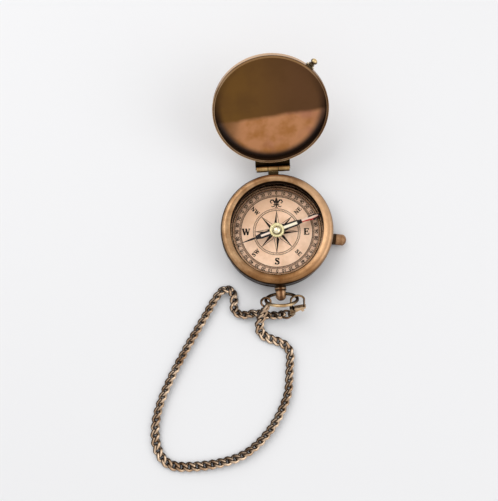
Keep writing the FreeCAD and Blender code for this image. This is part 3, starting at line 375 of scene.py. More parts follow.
# Noise scales of the antique finish, in features per metre
PATCH_SCALE = 170.0
SPECK_SCALE = 1900.0
TURNING_SCALE = 1500.0
GROOVE_SCALE = 4200.0
# How far a dark recess and a rubbed edge reach, how deep the grain is, and how much of
# the colour a shade covers
RECESS_REACH = 1.6 * MM
RUBBED_WIDTH = 0.22 * MM
GRAIN_DEPTH = 0.012 * MM
SHADE_STRENGTH = 0.94


def antique(
    name, light, dark, worn, roughness=0.38, frame_at=None, deep=0.28, shades=(), tint=None,
    glancing=None,
):
    """Antiqued brass: dark in its recesses with patina and painted shade, patchy on its
    faces, bright on its edges, with fine turning lines round the axis of its own frame if
    it has one. Each of the shades darkens a band of the frame: radius or height, from, to,
    and sometimes the height that the band stays below. The tint paints light and shade
    over the colour last. Glancing is the colour of the sheen along the outline."""
    g = Graph(name)
    g.set("Metallic", 1.0)
    if glancing:
        g.set("Specular Tint", glancing)
    patches = g.span(g.noise(PATCH_SCALE, 4.0, 0.6), 0.3, 0.72)
    specks = g.noise(SPECK_SCALE, 3.0, 0.6)
    recess = g.add("AmbientOcclusion", {"Distance": RECESS_REACH}, samples=6).outputs["AO"]
    soft = g.add("Bevel", {"Radius": RUBBED_WIDTH}, samples=4).outputs[0]
    hard = g.add("NewGeometry").outputs["Normal"]
    dot = g.dot(soft, hard)
    edge = g.times(g.span(dot, 0.995, 0.86), g.span(recess, 0.35, 0.8))
    colour = g.mix(patches, light, dark)
    colour = g.mix(g.span(specks, 0.45, 0.8, 0.0, 0.45), colour, dark)
    height = g.times(specks, 0.6)
    if frame_at:
        radius, along = g.profile(g.local(*frame_at))
        at = g.add("CombineXYZ", {0: radius, 1: along}).outputs[0]
        turning = g.noise(TURNING_SCALE, 2.0, 0.7, at)
        colour = g.mix(g.span(turning, 0.42, 0.7, 0.0, 0.5), colour, dark)
        height = g.calc("ADD", height, g.noise(GROOVE_SCALE, 2.0, 0.6, at))
    colour = g.mix(edge, colour, worn)
    shadow = tuple(deep * c for c in dark)
    for measure, low, high, *below in shades:
        value = radius if measure == "radius" else along
        band = g.times(g.above(value, low), g.below(value, high))
        for limit in below:
            band = g.times(band, g.below(along, limit))
        colour = g.mix(g.times(band, SHADE_STRENGTH), colour, shadow)
    if tint:
        colour = tint(g, colour)
    # Patina and painted shade darken the recesses
    g.set("Base Color", g.mix(g.span(recess, 0.25, 0.85), shadow, colour))
    g.set("Roughness", g.span(specks, 0.3, 0.75, roughness - 0.06, roughness + 0.12))
    g.bump(height, 0.5, GRAIN_DEPTH)
    return g.material


# Frames of the turned pieces: origin and turn
UPRIGHT = ((0, 0, 0), (0, 0, 0))
LID_PIVOT = Vector((0, 24.8, 10.3)) * MM
LID_OPEN = math.radians(-136)
OPEN_TURN = Matrix.Rotation(LID_OPEN, 3, "X")
LID_FRAME = (tuple(LID_PIVOT + OPEN_TURN @ -LID_PIVOT), (LID_OPEN, 0, 0))
KNOB_FRAME = ((0, 0, 3 * MM), (0, math.radians(90), math.radians(-10)))
STEM_FRAME = ((0, 0, 6 * MM), (math.radians(90), 0, 0))
HINGE_FRAME = (tuple(LID_PIVOT), (0, math.radians(90), 0))

# Colours of the bezel, of its worn edges, and of the case's side, which is darker as painted
# shade
LIGHT = srgb(192, 156, 118)
DARK = srgb(136, 98, 64)
WORN = srgb(242, 214, 176)
SHADED_SIDE_LIGHT = srgb(112, 82, 56)
SHADED_SIDE_DARK = srgb(58, 38, 24)
# Radius of the bezel's opening, in millimetres
OPENING_RADIUS = 18.6


def bezel_tint(g, colour):
    """Browner towards the stem and paler to the east, as painted shade and painted highlight,
    and dark at the back of the opening as painted shade.
    """
    part = g.part(g.place)
    east = g.span(part[0], 6 * MM, 19 * MM, 0.0, 0.4)
    colour = g.mix(east, colour, srgb(224, 180, 140))
    near = g.span(part[1], -9 * MM, -20 * MM, 0.0, 0.85)
    colour = g.mix(near, colour, srgb(196, 172, 140), "MULTIPLY")
    radius = g.profile(g.local((0, 0.75 * MM, 0), (0, 0, 0)))[0]
    return g.mix(g.below(radius, OPENING_RADIUS), colour, srgb(20, 11, 6))


def stem_tint(g, colour):
    """A painted reflection: a dark streak along the middle between paler sides."""
    part = g.part(g.place)
    side = g.span(g.calc("ABSOLUTE", part[0]), 0.35 * MM, 0.95 * MM)
    upper = g.span(part[2], 6 * MM, 7 * MM)
    streak = g.times(upper, g.calc("SUBTRACT", 1.0, side))
    return g.mix(g.times(streak, 0.8), colour, srgb(74, 38, 14))


def facing(g, way, low, high):
    """1 where the surface faces a way, 0 where it faces well off it."""
    normal = g.add("TexCoord").outputs["Normal"]
    return g.span(g.dot(normal, way), low, high)


def tarnish(g, colour, dark, share, way, low, high):
    """Darker everywhere as painted shade, but on the side that faces a way, which stays
    bright as painted light.
    """
    lit_side = facing(g, way, low, high)
    return g.mix(g.calc("MULTIPLY_ADD", lit_side, -share, share), colour, dark)


def lid_tint(g, colour):
    """Pale at the knob's end of the lid as a painted highlight, but for its mouth and a dark
    line round that, and browner on its east side as painted shade."""
    at = g.local(*LID_FRAME)
    part = g.part(at)
    radius, along = g.profile(at)
    far = g.span(part[1], -10 * MM, -19 * MM)
    colour = g.mix(g.times(far, 0.65), colour, srgb(236, 200, 164))
    mouth = g.times(far, g.below(along, 12.25))
    colour = g.mix(g.times(mouth, 0.85), colour, srgb(136, 98, 54))
    line = g.times(g.above(radius, 22.55), g.below(along, 12.45))
    line = g.times(far, line)
    colour = g.mix(g.times(line, 0.8), colour, srgb(66, 42, 24))
    east = g.span(part[0], 12 * MM, 21 * MM, 0.0, 0.7)
    return g.mix(east, colour, srgb(168, 146, 130), "MULTIPLY")


def chain_tint(g, colour):
    """Painted shade on the links' flanks, left bright on the lit upper side."""
    return tarnish(g, colour, srgb(32, 18, 9), 0.93, (0.45, -0.45, 0.77), 0.42, 0.88)


def head_tint(g, colour):
    """Painted shade on the lid's knob but for one side, painted pale as a highlight."""
    return tarnish(g, colour, srgb(36, 22, 12), 0.9, (0.5, 0.3, 0.81), 0.45, 0.85)


def bow_tint(g, colour):
    """Dark as painted shadow where the bow passes behind the stem, and bright in front as
    painted light.
    """
    part = g.part(g.place)
    behind = g.span(part[1], -31.6 * MM, -29.8 * MM, 0.0, 0.85)
    colour = g.mix(behind, colour, srgb(48, 32, 20))
    return tarnish(g, colour, srgb(52, 32, 18), 0.7, (0.0, -0.4, 0.92), 0.2, 0.75)


# Painted shade on the bezel's outer edge and in its opening
bezel_brass = antique(
    "antique_brass", LIGHT, DARK, WORN, frame_at=UPRIGHT,
    deep=0.1, shades=(("radius", 21.95, 23.0), ("radius", 0.0, OPENING_RADIUS)),
    tint=bezel_tint,
)
# The case's side: darker all over as painted shade, with painted shade on its inner wall
side_brass = antique(
    "antique_brass_side", SHADED_SIDE_LIGHT, SHADED_SIDE_DARK, srgb(168, 130, 96), frame_at=UPRIGHT,
    deep=0.1, shades=(("radius", 0.0, 20.3),), glancing=srgb(36, 24, 16),
)
# Painted shade on the lid's inner wall, and a dark line round its mouth
lid_brass = antique(
    "antique_brass_lid", srgb(190, 156, 120), srgb(136, 104, 74), WORN, frame_at=LID_FRAME,
    shades=(("radius", 0.0, 21.9, 15.3), ("radius", 22.2, 22.42, 12.3)), tint=lid_tint,
)
# Painted shade on the leaves beyond the barrel, and dark joints between the knuckles
hinge_brass = antique(
    "antique_brass_hinge", srgb(196, 160, 108), srgb(136, 104, 64), srgb(226, 200, 150),
    frame_at=HINGE_FRAME, deep=0.03,
    shades=(("radius", 1.15, 9.0), ("height", 1.9, 2.24), ("height", -2.24, -1.9)),
)
lid_knob_brass = antique(
    "antique_brass_lid_knob", srgb(240, 218, 172), srgb(206, 176, 124), srgb(252, 242, 210),
    roughness=0.3, deep=0.08, tint=head_tint,
)
knob_brass = antique(
    "antique_brass_knob", srgb(190, 148, 110), srgb(116, 80, 50), WORN, frame_at=KNOB_FRAME,
    deep=0.14, shades=(("height", 21.5, 24.2),),
)
stem_brass = antique(
    "antique_brass_stem", srgb(198, 158, 120), srgb(122, 88, 60), WORN, frame_at=STEM_FRAME,
    deep=0.1, shades=(("height", 21.0, 23.2), ("height", 23.6, 24.4)), tint=stem_tint,
)
plain_brass = antique(
    "plain_brass", srgb(214, 176, 110), srgb(170, 128, 70), srgb(245, 220, 160),
    roughness=0.3, frame_at=UPRIGHT,
)
ring_brass = antique(
    "dial_ring_brass", srgb(200, 160, 128), srgb(132, 96, 70), srgb(226, 192, 152),
    roughness=0.3, frame_at=UPRIGHT, deep=0.12,
    shades=(
        ("radius", 16.8, 17.15), ("radius", 17.7, 18.1), ("radius", OPENING_RADIUS, 20.2),
    ),
)
clasp_brass = antique(
    "clasp_brass", srgb(206, 172, 128), srgb(100, 70, 42), srgb(252, 234, 204),
    roughness=0.28, deep=0.1, tint=chain_tint,
)
bow_brass = antique(
    "clasp_brass_bow", srgb(236, 208, 164), srgb(170, 132, 88), srgb(252, 234, 204),
    roughness=0.28, deep=0.1, tint=bow_tint,
)
gate_brass = antique(
    "clasp_brass_gate", srgb(236, 208, 170), srgb(190, 154, 116), srgb(250, 234, 206),
    roughness=0.3,
)
# A darker copy of the chain's brass, as painted shade on the rings by the bow and the clasp
shaded_chain_brass = antique(
    "chain_brass_shaded", srgb(176, 138, 104), srgb(80, 54, 34), srgb(232, 200, 164),
    roughness=0.3, deep=0.08, tint=chain_tint,
)
chain_brass = antique(
    "chain_brass", srgb(240, 212, 182), srgb(158, 122, 90), srgb(255, 244, 228),
    roughness=0.3, deep=0.05, tint=chain_tint,
)


def steel_material():
    """Clean grey metal with faint mottling."""
    g = Graph("steel")
    g.set("Metallic", 1.0)
    mottle = g.span(g.noise(260.0, 2.0), 0.3, 0.75)
    g.set("Base Color", g.mix(mottle, srgb(182, 182, 184), srgb(150, 150, 152)))
    g.set("Roughness", g.span(g.noise(2400.0, 2.0), 0.3, 0.7, 0.2, 0.33))
    return g.material


def hub_material():
    """Pale brass, bright on the dome as a painted highlight, with patina all round where the
    dome meets the disc, deepened on one side by a painted shadow, and painted shade on its
    rim.
    """
    g = Graph("hub_brass")
    g.set("Metallic", 1.0)
    radius = g.profile(g.place)[0]
    lit = g.profile(g.local((-0.1 * MM, 0.4 * MM, 0), (0, 0, 0)))[0]
    mottle = g.span(g.noise(420.0, 3.0), 0.35, 0.7)
    disc = g.mix(mottle, srgb(226, 214, 168), srgb(206, 192, 142))
    colour = g.mix(g.span(radius, 1.5 * MM, 1.68 * MM), srgb(240, 228, 194), disc)
    patina_and_shadow = g.span(radius, 1.5 * MM, 1.65 * MM)
    patina_and_shadow = g.times(patina_and_shadow, g.span(radius, 2.2 * MM, 1.9 * MM))
    patina_and_shadow = g.times(patina_and_shadow, g.span(lit, 1.4 * MM, 2.1 * MM, 0.2, 0.9))
    colour = g.mix(patina_and_shadow, colour, srgb(84, 68, 30))
    # Painted shade on the rim
    edge = g.span(radius, 2.7 * MM, 2.93 * MM, 0.0, 0.6)
    g.set("Base Color", g.mix(edge, colour, srgb(120, 104, 64)))
    g.set("Roughness", g.span(g.noise(2400.0, 2.0), 0.3, 0.7, 0.2, 0.32))
    return g.material


hub_brass = hub_material()
steel = steel_material()


def plain(name, **sockets):
    """A material that is the same all over, given by its shader's sockets."""
    g = Graph(name)
    for key, value in sockets.items():
        g.set(key.replace("_", " "), value)
    return g.material


def glass_material():
    """Clear glass that lets the lamps' light through to the dial."""
    g = Graph("clear_glass")
    g.set("Base Color", (1.0, 1.0, 1.0))
    g.set("Roughness", 0.02)
    g.set("IOR", 1.05)
    g.set("Transmission Weight", 1.0)
    clear = g.add("BsdfTransparent").outputs[0]
    path = g.add("LightPath")
    lamp = g.calc("MAXIMUM", path.outputs["Is Shadow Ray"], path.outputs["Is Diffuse Ray"])
    shown = g.add("MixShader", {0: lamp, 1: g.shader.outputs[0], 2: clear}).outputs[0]
    g.join(g.output.inputs["Surface"], shown)
    return g.material


def plate_material():
    """Bright lining of the lid with a painted reflection, dark brown on its far part and
    copper near the hinge, and a painted shadow of its wall round the near edge.
    """
    g = Graph("lid_mirror")
    at = g.local(*LID_FRAME)
    part = g.part(at)
    haze = g.noise(90.0, 3.0, 0.55, at)
    # Painted reflection: dark brown on the far part, copper nearer the hinge
    level = g.calc("MULTIPLY_ADD", part[0], 0.1, part[1])
    level = g.calc("MULTIPLY_ADD", haze, 2.4 * MM, level)
    bright = g.span(level, 3.6 * MM, 6.0 * MM)
    side = g.span(part[0], -16 * MM, 14 * MM)
    brown = g.mix(side, srgb(112, 77, 32), srgb(98, 65, 38))
    brown = g.mix(g.span(haze, 0.35, 0.7, 0.0, 0.5), brown, srgb(90, 60, 30))
    patch = g.span(g.noise(120.0, 3.0, 0.55, at), 0.4, 0.65)
    copper = g.mix(patch, srgb(202, 138, 90), srgb(178, 114, 54))
    blush = g.noise(95.0, 2.0, 0.5, g.local((0.02, 0.01, 0.0), (0, 0, 0)))
    copper = g.mix(g.span(blush, 0.5, 0.7, 0.0, 0.6), copper, srgb(172, 108, 84))
    west = g.calc("MULTIPLY_ADD", haze, 8 * MM, part[0])
    copper = g.mix(g.span(west, -6 * MM, -13 * MM, 0.0, 0.85), copper, srgb(126, 82, 36))
    # Painted shadow and reflection of the lid's wall round the plate's near edge
    radius = g.profile(g.local((0, *LID_FRAME[0][1:]), LID_FRAME[1]))[0]
    nearness = g.span(part[1], -20 * MM, 12 * MM)
    edge = g.times(g.span(radius, 18.2 * MM, 21.2 * MM), nearness)
    colour = g.mix(bright, brown, copper)
    g.set("Base Color", g.mix(edge, colour, srgb(36, 19, 9)))
    g.set("Metallic", g.span(bright, 0.0, 1.0, 0.85, 0.4))
    g.set("Roughness", g.span(g.noise(900.0, 3.0), 0.3, 0.7, 0.3, 0.4))
    return g.material


def dial_material():
    """Pale copper that deepens to the north-west as a painted shadow of the case's wall, with
    a darker band under the numbers.
    """
    g = Graph("dial_face")
    radius = g.profile(g.place)[0]
    inner = g.span(radius, 14.35 * MM, 14.45 * MM)
    mottle = g.noise(260.0, 4.0, 0.6)
    peach = g.mix(g.span(mottle, 0.3, 0.7), srgb(240, 204, 174), srgb(222, 182, 149))
    part = g.part(g.place)
    # Painted shadow of the wall, deeper towards the north-west
    away = g.calc("MULTIPLY_ADD", part[0], -0.55, part[1])
    peach = g.mix(g.span(away, 2 * MM, 15 * MM, 0.0, 0.8), peach, srgb(204, 162, 128))
    ticks = g.times(inner, g.span(radius, 15.25 * MM, 15.15 * MM))
    peach = g.mix(g.times(inner, 0.35), peach, srgb(190, 150, 120))
    g.set("Base Color", g.mix(g.times(ticks, 0.7), peach, srgb(170, 132, 102)))
    g.set("Roughness", 0.45)
    g.set("Metallic", 0.25)
    g.bump(g.noise(5200.0, 2.0), 0.25, 0.006 * MM)
    return g.material


# Way of the needle's north arm, anticlockwise from east
NORTH_TURN = math.radians(17.0)


def needle_material():
    """North arm with a red blade, pale on its upper part as a painted highlight and dark at
    its edges and end as painted shade, south arm blued black, both pale in their eyes as a
    painted highlight. The limits are places along the needle and across it."""
    g = Graph("needle_paint")
    at = g.local((0, 0, 0), (0, 0, NORTH_TURN))
    part = g.part(at)
    along, across = part[0], part[1]
    blade = g.span(along, 10.6 * MM, 10.8 * MM)
    half = g.calc(
        "SUBTRACT",
        g.span(along, 10.0 * MM, 16.0 * MM, 0.45 * MM, 1.15 * MM),
        g.span(along, 16.0 * MM, 19.3 * MM, 0.0, 1.15 * MM),
    )
    way = g.calc("DIVIDE", across, half)
    rough = g.calc("MULTIPLY_ADD", g.noise(800.0, 3.0), 0.4, way)
    red_part = g.span(rough, 0.0, -0.25)
    # Painted shade on the blade's edges near its end and on the end itself
    outer = g.span(along, 13.0 * MM, 14.0 * MM)
    shaded_edge = g.times(g.span(way, 0.35, 0.5), outer)
    shaded_lower_edge = g.times(g.span(way, -0.45, -0.6), g.span(along, 15.0 * MM, 15.6 * MM))
    shaded_edge = g.calc("MAXIMUM", shaded_edge, shaded_lower_edge)
    shaded_edge = g.calc("MAXIMUM", shaded_edge, g.span(along, 17.5 * MM, 17.8 * MM))
    # Pale paint on the blade's upper part is a painted highlight
    pale = g.mix(g.noise(700.0, 3.0), srgb(250, 224, 204), srgb(232, 196, 172))
    tip = g.mix(red_part, pale, srgb(176, 40, 34))
    tip = g.mix(shaded_edge, tip, srgb(34, 24, 22))
    width = g.calc("ABSOLUTE", across)
    outside = g.span(width, 0.5 * MM, 0.62 * MM)
    outside = g.calc("MAXIMUM", outside, g.span(along, 8.4 * MM, 8.9 * MM))
    # Pale in the north eye as a painted highlight, dark on the bars
    bars = g.mix(outside, srgb(252, 240, 214), srgb(26, 20, 18))
    north = g.mix(blade, bars, tip)
    outside = g.span(width, 0.36 * MM, 0.48 * MM)
    outside = g.calc("MAXIMUM", outside, g.span(along, -6.6 * MM, -7.0 * MM))
    # Pale in the south eye as a painted highlight, blued black round it
    south = g.mix(outside, srgb(244, 222, 204), srgb(22, 18, 20))
    g.set("Base Color", g.mix(g.span(along, -0.1 * MM, 0.1 * MM), south, north))
    g.set("Roughness", 0.3)
    g.set("Specular IOR Level", 0.2)
    return g.material


LOOKS = {
    "case_body": side_brass,
    "bezel_ring": bezel_brass,
    "hinge_body_leaf": hinge_brass,
    "hinge_pin": hinge_brass,
    "hinge_lid_leaf": hinge_brass,
    "lid_shell": lid_brass,
    "lid_knob": lid_knob_brass,
    "lock_bush": knob_brass,
    "lock_knob": knob_brass,
    "stem": stem_brass,
    "bow_ring": bow_brass,
    "clasp_body": clasp_brass,
    "clasp_gate": gate_brass,
    "clasp_pin": clasp_brass,
    "clasp_jump_ring": shaded_chain_brass,
    "chain_end_ring": shaded_chain_brass,
    "dial_ring": ring_brass,
    "dial_support_ring": plain_brass,
    "lift_collar": plain_brass,
    "lever_bracket": plain_brass,
    "needle_hub": hub_brass,
    "pivot_post": steel,
    "lock_spindle": steel,
    "arrest_lever": steel,
    "lever_pin": steel,
    "lid_plate": plate_material(),
    "dial": dial_material(),
    "needle_blade": needle_material(),
    "needle_jewel": plain("jewel", Base_Color=srgb(120, 20, 40), Roughness=0.1),
    "glass": glass_material(),
    "glass_gasket": plain("gasket_rubber", Base_Color=srgb(24, 22, 20), Roughness=0.7),
}


def dress(piece, material):
    """Give a piece one material all over."""
    piece.data.materials.clear()
    piece.data.materials.append(material)


for node_name, look in LOOKS.items():
    dress(NODES[node_name], look)
dress(chain, chain_brass)


# Eyes of the needle, in millimetres along it: start, wide from, wide to, end. Then
# half their width, and the heights between which the paint lies.
EYES = ((3.26, 4.61, 8.06, 9.6), (-2.7, -3.82, -6.68, -7.89))
EYE_HALF = 0.82
EYE_FILM = (8.48, 8.7)


def fill_eyes():
    """Thin films in the two eyes of the needle, pale as a painted highlight and dark along
    their sides.
    """
    turn = Matrix.Rotation(NORTH_TURN, 3, "Z")
    corners, faces = [], []
    for start, first, second, end in EYES:
        ring = [(start, 0), (first, -EYE_HALF), (second, -EYE_HALF), (end, 0)]
        ring += [(second, EYE_HALF), (first, EYE_HALF)]
        base, count = len(corners), len(ring)
        for z in EYE_FILM:
            corners += [turn @ Vector((x, y, z)) * MM for x, y in ring]
        low, high = range(base, base + count), range(base + count, base + 2 * count)
        faces += [tuple(low)[::-1], tuple(high)]
        faces += [(low[n - 1], low[n], high[n], high[n - 1]) for n in range(count)]
    mesh = bpy.data.meshes.new("needle_eye_highlight_film")
    mesh.from_pydata(corners, [], faces)
    build = bmesh.new()
    build.from_mesh(mesh)
    bmesh.ops.recalc_face_normals(build, faces=build.faces)
    build.to_mesh(mesh)
    build.free()
    film = add_object("needle_eye_highlight_film", mesh)
    dress(film, LOOKS["needle_blade"])
    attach(film, "needle")


fill_eyes()


# Dial print, in millimetres from the dial's middle, north up
PRINT_TURN = math.radians(-2.9)
PRINT_HEIGHT = 5.215
NUMBER_RADIUS = 15.98
NUMBER_SIZE = 1.75
NUMBER_BOLDNESS = 0.06
# Radius and half width of each ring
RINGS = ((8.72, 0.1), (9.5, 0.09), (14.42, 0.1), (15.2, 0.05), (16.78, 0.07))
RING_STEPS = 120
# Slanted dashes between the two inner rings: count, radii, slant in radians, half width
DASH_COUNT = 96
DASH_RADII = (8.78, 9.44)
DASH_SLANT = 0.045
DASH_HALF = 0.06
# Ticks of the degrees: step, radii, half width, and half width at each numbered one
TICK_STEP = 2
TICK_RADII = (14.5, 15.15)
TICK_HALF = 0.09
LONG_TICK_HALF = 0.13
NUMBER_STEP = 10
# Star: radii of its tips and its centre, then where its points are widest and by how much
STAR_REACH = 8.7
STAR_ROOT = 1.2
STAR_WAIST = (3.1, 1.0)
STAR_LINE = 0.09
DARK_LEFT_POINTS = (0, 3, 4, 6, 7)


class Ink:
    """Flat printed shapes, gathered into one thin mesh."""

    def __init__(self):
        self.corners = []
        self.faces = []

    def shape(self, points):
        start = len(self.corners)
        self.corners += points
        self.faces.append(tuple(range(start, start + len(points))))

    def stroke(self, points, halves, closed=False):
        """A line through points whose half width may change on the way."""
        points = [Vector(p) for p in points]
        if not hasattr(halves, "__len__"):
            halves = [halves] * len(points)
        count = len(points)
        edges = []
        for number, (point, half) in enumerate(zip(points, halves)):
            before = points[number - 1] if closed or number else point
            after = points[(number + 1) % count] if closed or number < count - 1 else point
            way = (after - before).normalized()
            across = Vector((-way.y, way.x)) * half
            edges.append((point + across, point - across))
        pairs = zip(edges, edges[1:] + (edges[:1] if closed else []))
        for (a, b), (c, d) in pairs:
            self.shape([a, b, d, c])

    def ring(self, radius, half):
        turn = 2 * math.pi / RING_STEPS
        points = [spot(radius, n * turn) for n in range(RING_STEPS)]
        self.stroke(points, half, closed=True)

    def mesh(self, name):
        data = bpy.data.meshes.new(name)
        turn = Matrix.Rotation(PRINT_TURN, 2)
        flat = [turn @ Vector(c) for c in self.corners]
        places = [(x * MM, y * MM, PRINT_HEIGHT * MM) for x, y in flat]
        data.from_pydata(places, [], self.faces)
        return data


def spot(radius, bearing):
    """A place at a bearing turned clockwise from north."""
    return Vector((radius * math.sin(bearing), radius * math.cos(bearing)))


# Letter strokes in a box one unit high: (x, y, half width) along each stroke
SERIF = 0.035
LETTER_STROKES = {
    "N": (
        ((0.17, 0, 0.045), (0.17, 1, 0.045)),
        ((0.12, 1, 0.12), (0.86, 0, 0.12)),
        ((0.86, 0, 0.045), (0.86, 1, 0.045)),
        ((0.0, SERIF, SERIF), (0.34, SERIF, SERIF)),
        ((0.0, 1 - SERIF, SERIF), (0.24, 1 - SERIF, SERIF)),
        ((0.68, 1 - SERIF, SERIF), (1.04, 1 - SERIF, SERIF)),
    ),
    "E": (
        ((0.2, 0, 0.11), (0.2, 1, 0.11)),
        ((0.02, SERIF, SERIF), (0.8, SERIF, SERIF)),
        ((0.02, 1 - SERIF, SERIF), (0.76, 1 - SERIF, SERIF)),
        ((0.2, 0.52, SERIF), (0.56, 0.52, SERIF)),
        ((0.77, 0, 0.05), (0.8, 0.3, 0.02)),
        ((0.73, 1, 0.05), (0.74, 0.72, 0.02)),
        ((0.56, 0.36, 0.035), (0.56, 0.68, 0.035)),
    ),
    "S": (
        ((0.66, 0.72, 0.03), (0.6, 0.88, 0.05), (0.42, 0.96, 0.05), (0.24, 0.9, 0.09),
         (0.2, 0.74, 0.11), (0.3, 0.6, 0.12), (0.46, 0.5, 0.13), (0.62, 0.38, 0.12),
         (0.68, 0.22, 0.1), (0.58, 0.08, 0.07), (0.42, 0.03, 0.045), (0.24, 0.08, 0.05),
         (0.14, 0.28, 0.03)),
        ((0.68, 0.7, 0.035), (0.68, 1, 0.035)),
        ((0.12, 0, 0.035), (0.12, 0.3, 0.035)),
    ),
    "W": (
        ((0.14, 1, 0.115), (0.42, 0, 0.1)),
        ((0.42, 0, 0.04), (0.64, 0.95, 0.04)),
        ((0.62, 1, 0.115), (0.9, 0, 0.1)),
        ((0.9, 0, 0.04), (1.14, 1, 0.04)),
        ((-0.04, 1 - SERIF, SERIF), (0.34, 1 - SERIF, SERIF)),
        ((0.5, 1 - SERIF, SERIF), (0.78, 1 - SERIF, SERIF)),
        ((0.98, 1 - SERIF, SERIF), (1.28, 1 - SERIF, SERIF)),
    ),
}
BOLDNESS = 0.035
LETTER_WIDTHS = {"N": 1.02, "E": 0.82, "S": 0.8, "W": 1.24}
LETTER_GAP = 0.1
# Letters: text and place, then text, bearing and turn in degrees of the smaller ones
MAIN_LETTERS = (("W", (-12.4, 0)), ("E", (12.0, 0)), ("S", (0, -12.05)))
MAIN_SIZE = 2.6
SIDE_LETTERS = (("NW", 315, -45), ("NE", 45, 45), ("SW", 225, 45), ("SE", 135, -45))
SIDE_RADIUS = 12.2
SIDE_SIZE = 1.6


def write_letters(ink, letters, middle, height, turn=0.0):
    """Capital letters round a middle, along a line turned anticlockwise."""
    spin = Matrix.Rotation(turn, 2)
    width = sum(LETTER_WIDTHS[c] for c in letters) + LETTER_GAP * (len(letters) - 1)
    start = -width / 2
    for letter in letters:
        for stroke in LETTER_STROKES[letter]:
            points = [Vector((x + start, y - 0.5)) * height for x, y, half in stroke]
            halves = [(half + BOLDNESS) * height for x, y, half in stroke]
            ink.stroke([spin @ p + middle for p in points], halves)
        start += LETTER_WIDTHS[letter] + LETTER_GAP


def write_degree(ink, degree, number):
    """A number at its bearing, with its top outwards."""
    data = bpy.data.curves.new("number", "FONT")
    data.body = str(number)
    data.size = NUMBER_SIZE
    data.align_x = "CENTER"
    data.align_y = "CENTER"
    data.offset = NUMBER_BOLDNESS
    mesh = curve_mesh(data)
    bearing = math.radians(degree)
    spin = Matrix.Rotation(-bearing, 2)
    middle = spot(NUMBER_RADIUS, bearing)
    for face in mesh.polygons:
        ink.shape([spin @ mesh.vertices[v].co.xy + middle for v in face.vertices])
    bpy.data.meshes.remove(mesh)


def make_fleur(ink):
    """Three-petalled lily over north, with its crossbar and foot."""
    ink.stroke(
        [(0, 9.9), (0, 10.6), (0, 11.6), (0, 12.7), (0, 13.6), (0, 14.3)],
        [0.12, 0.3, 0.26, 0.62, 0.4, 0.0],
    )
    ink.stroke([(-1.25, 11.2), (1.25, 11.2)], 0.16)
    ink.stroke([(-0.7, 10.0), (0.7, 10.0)], 0.12)
    for s in (-1, 1):
        ink.stroke(
            [(s * 0.5, 11.2), (s * 0.75, 12.3), (s * 1.35, 13.1), (s * 2.1, 13.1),
             (s * 2.45, 12.4), (s * 2.1, 11.8), (s * 1.6, 12.0)],
            [0.16, 0.34, 0.34, 0.3, 0.26, 0.2, 0.1],
        )
        ink.stroke(
            [(s * 0.45, 11.1), (s * 0.9, 10.5), (s * 1.7, 10.3), (s * 2.1, 10.7)],
            [0.14, 0.22, 0.2, 0.08],
        )


def make_star(ink):
    """Eight narrow points, one half of each filled and the other outlined."""
    for number in range(8):
        bearing = math.radians(45 * number)
        axis, across = spot(1, bearing), spot(1, bearing + math.radians(90))
        tip = axis * STAR_REACH
        root = axis * STAR_ROOT
        waist, half = axis * STAR_WAIST[0], across * STAR_WAIST[1]
        dark, light = waist - half, waist + half
        if number not in DARK_LEFT_POINTS:
            dark, light = light, dark
        ink.shape([tip, dark, root])
        ink.stroke([tip, light, root], STAR_LINE)
        ink.stroke([tip, root], STAR_LINE)


def ink_material():
    """Dark brown ink, a little uneven."""
    g = Graph("dial_ink")
    g.set("Base Color", g.mix(g.noise(600.0, 3.0), srgb(22, 13, 8), srgb(38, 24, 16)))
    g.set("Roughness", 0.5)
    g.set("Specular IOR Level", 0.15)
    return g.material


def make_print():
    """Rings, ticks, numbers, letters, lily and star, riding on the case."""
    ink = Ink()
    for radius, half in RINGS:
        ink.ring(radius, half)
    for number in range(DASH_COUNT):
        bearing = 2 * math.pi * number / DASH_COUNT
        ends = [spot(DASH_RADII[0], bearing), spot(DASH_RADII[1], bearing + DASH_SLANT)]
        ink.stroke(ends, DASH_HALF)
    for degree in range(0, 360, TICK_STEP):
        ends = [spot(radius, math.radians(degree)) for radius in TICK_RADII]
        ink.stroke(ends, TICK_HALF if degree % NUMBER_STEP else LONG_TICK_HALF)
        if degree % NUMBER_STEP == 0:
            from_north = min(degree, 360 - degree)
            write_degree(ink, degree, min(from_north, 180 - from_north))
    for letter, middle in MAIN_LETTERS:
        write_letters(ink, letter, Vector(middle), MAIN_SIZE)
    for letters, bearing, turn in SIDE_LETTERS:
        middle = spot(SIDE_RADIUS, math.radians(bearing))
        write_letters(ink, letters, middle, SIDE_SIZE, math.radians(turn))
    make_fleur(ink)
    make_star(ink)
    piece = add_object("dial_print", ink.mesh("dial_print"))
    dress(piece, ink_material())
    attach(piece, "case")


make_print()


# World: its colour, and its strength as the camera, gloss and clear glass see it
WORLD_COLOUR = (0.985, 0.985, 0.99)
SEEN_STRENGTH = 0.9
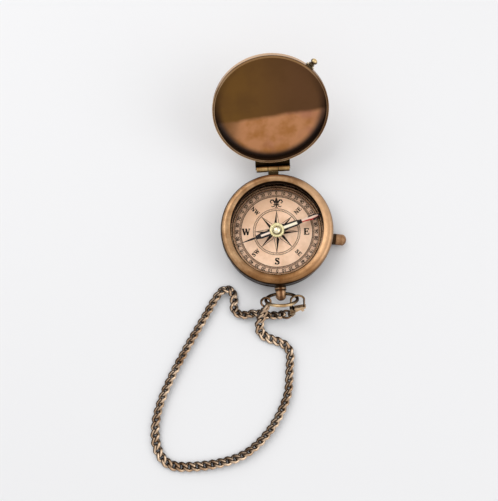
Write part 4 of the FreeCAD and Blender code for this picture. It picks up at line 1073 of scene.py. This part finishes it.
# Its strength as a light, low down and high up, the share taken off in front of the
# compass, and how much stronger it is behind
LIGHT_STRENGTH = (0.28, 0.71)
FRONT_LOSS = 0.7
REAR_GAIN = 1.7
FLOOR_HALF = 1.5
# Lamps: name, place and size in metres, power in watts
LAMPS = (
    ("key", (-0.35, 0.35, 0.7), 0.6, 2.35),
    ("fill", (0.5, -0.1, 0.5), 0.5, 1.0),
)


def make_world():
    """Studio surroundings. As a light they are bright overhead and behind, and dim low
    down and in front. Seen directly, in gloss or through glass they are one pale grey."""
    world = bpy.data.worlds.new("studio")
    world.use_nodes = True
    n = Nodes(world.node_tree)
    way = n.part(n.add("TexCoord").outputs["Generated"])
    level = n.span(way[2], -0.05, 0.85, *LIGHT_STRENGTH)
    front = n.times(n.span(way[1], -0.1, -0.9), n.span(way[2], 0.75, 0.2))
    level = n.times(level, n.calc("MULTIPLY_ADD", front, -FRONT_LOSS, 1.0))
    level = n.times(level, n.span(way[1], 0.1, 0.9, 1.0, REAR_GAIN))
    path = n.add("LightPath").outputs
    seen = n.calc("MAXIMUM", path["Is Camera Ray"], path["Is Glossy Ray"])
    seen = n.calc("MAXIMUM", seen, path["Is Transmission Ray"])
    background = n.tree.nodes["Background"].inputs
    n.join(background["Color"], WORLD_COLOUR)
    n.join(background["Strength"], n.span(seen, 0.0, 1.0, level, SEEN_STRENGTH))
    bpy.context.scene.world = world


def make_stage():
    """Pale floor and soft studio lamps."""
    half = FLOOR_HALF
    corners = [(-half, -half, 0), (half, -half, 0), (half, half, 0), (-half, half, 0)]
    mesh = bpy.data.meshes.new("floor")
    mesh.from_pydata(corners, [], [(0, 1, 2, 3)])
    floor = add_object("floor", mesh)
    dress(floor, plain("floor_pale", Base_Color=srgb(240, 240, 241), Roughness=0.6))
    for name, place, size, power in LAMPS:
        data = bpy.data.lights.new(name, "AREA")
        data.size = size
        data.energy = power
        lamp = add_object(name, data)
        lamp.location = place
        lamp.rotation_euler = (-Vector(place)).to_track_quat("-Z", "Y").to_euler()


make_world()
make_stage()
bpy.context.scene.view_settings.view_transform = "Standard"
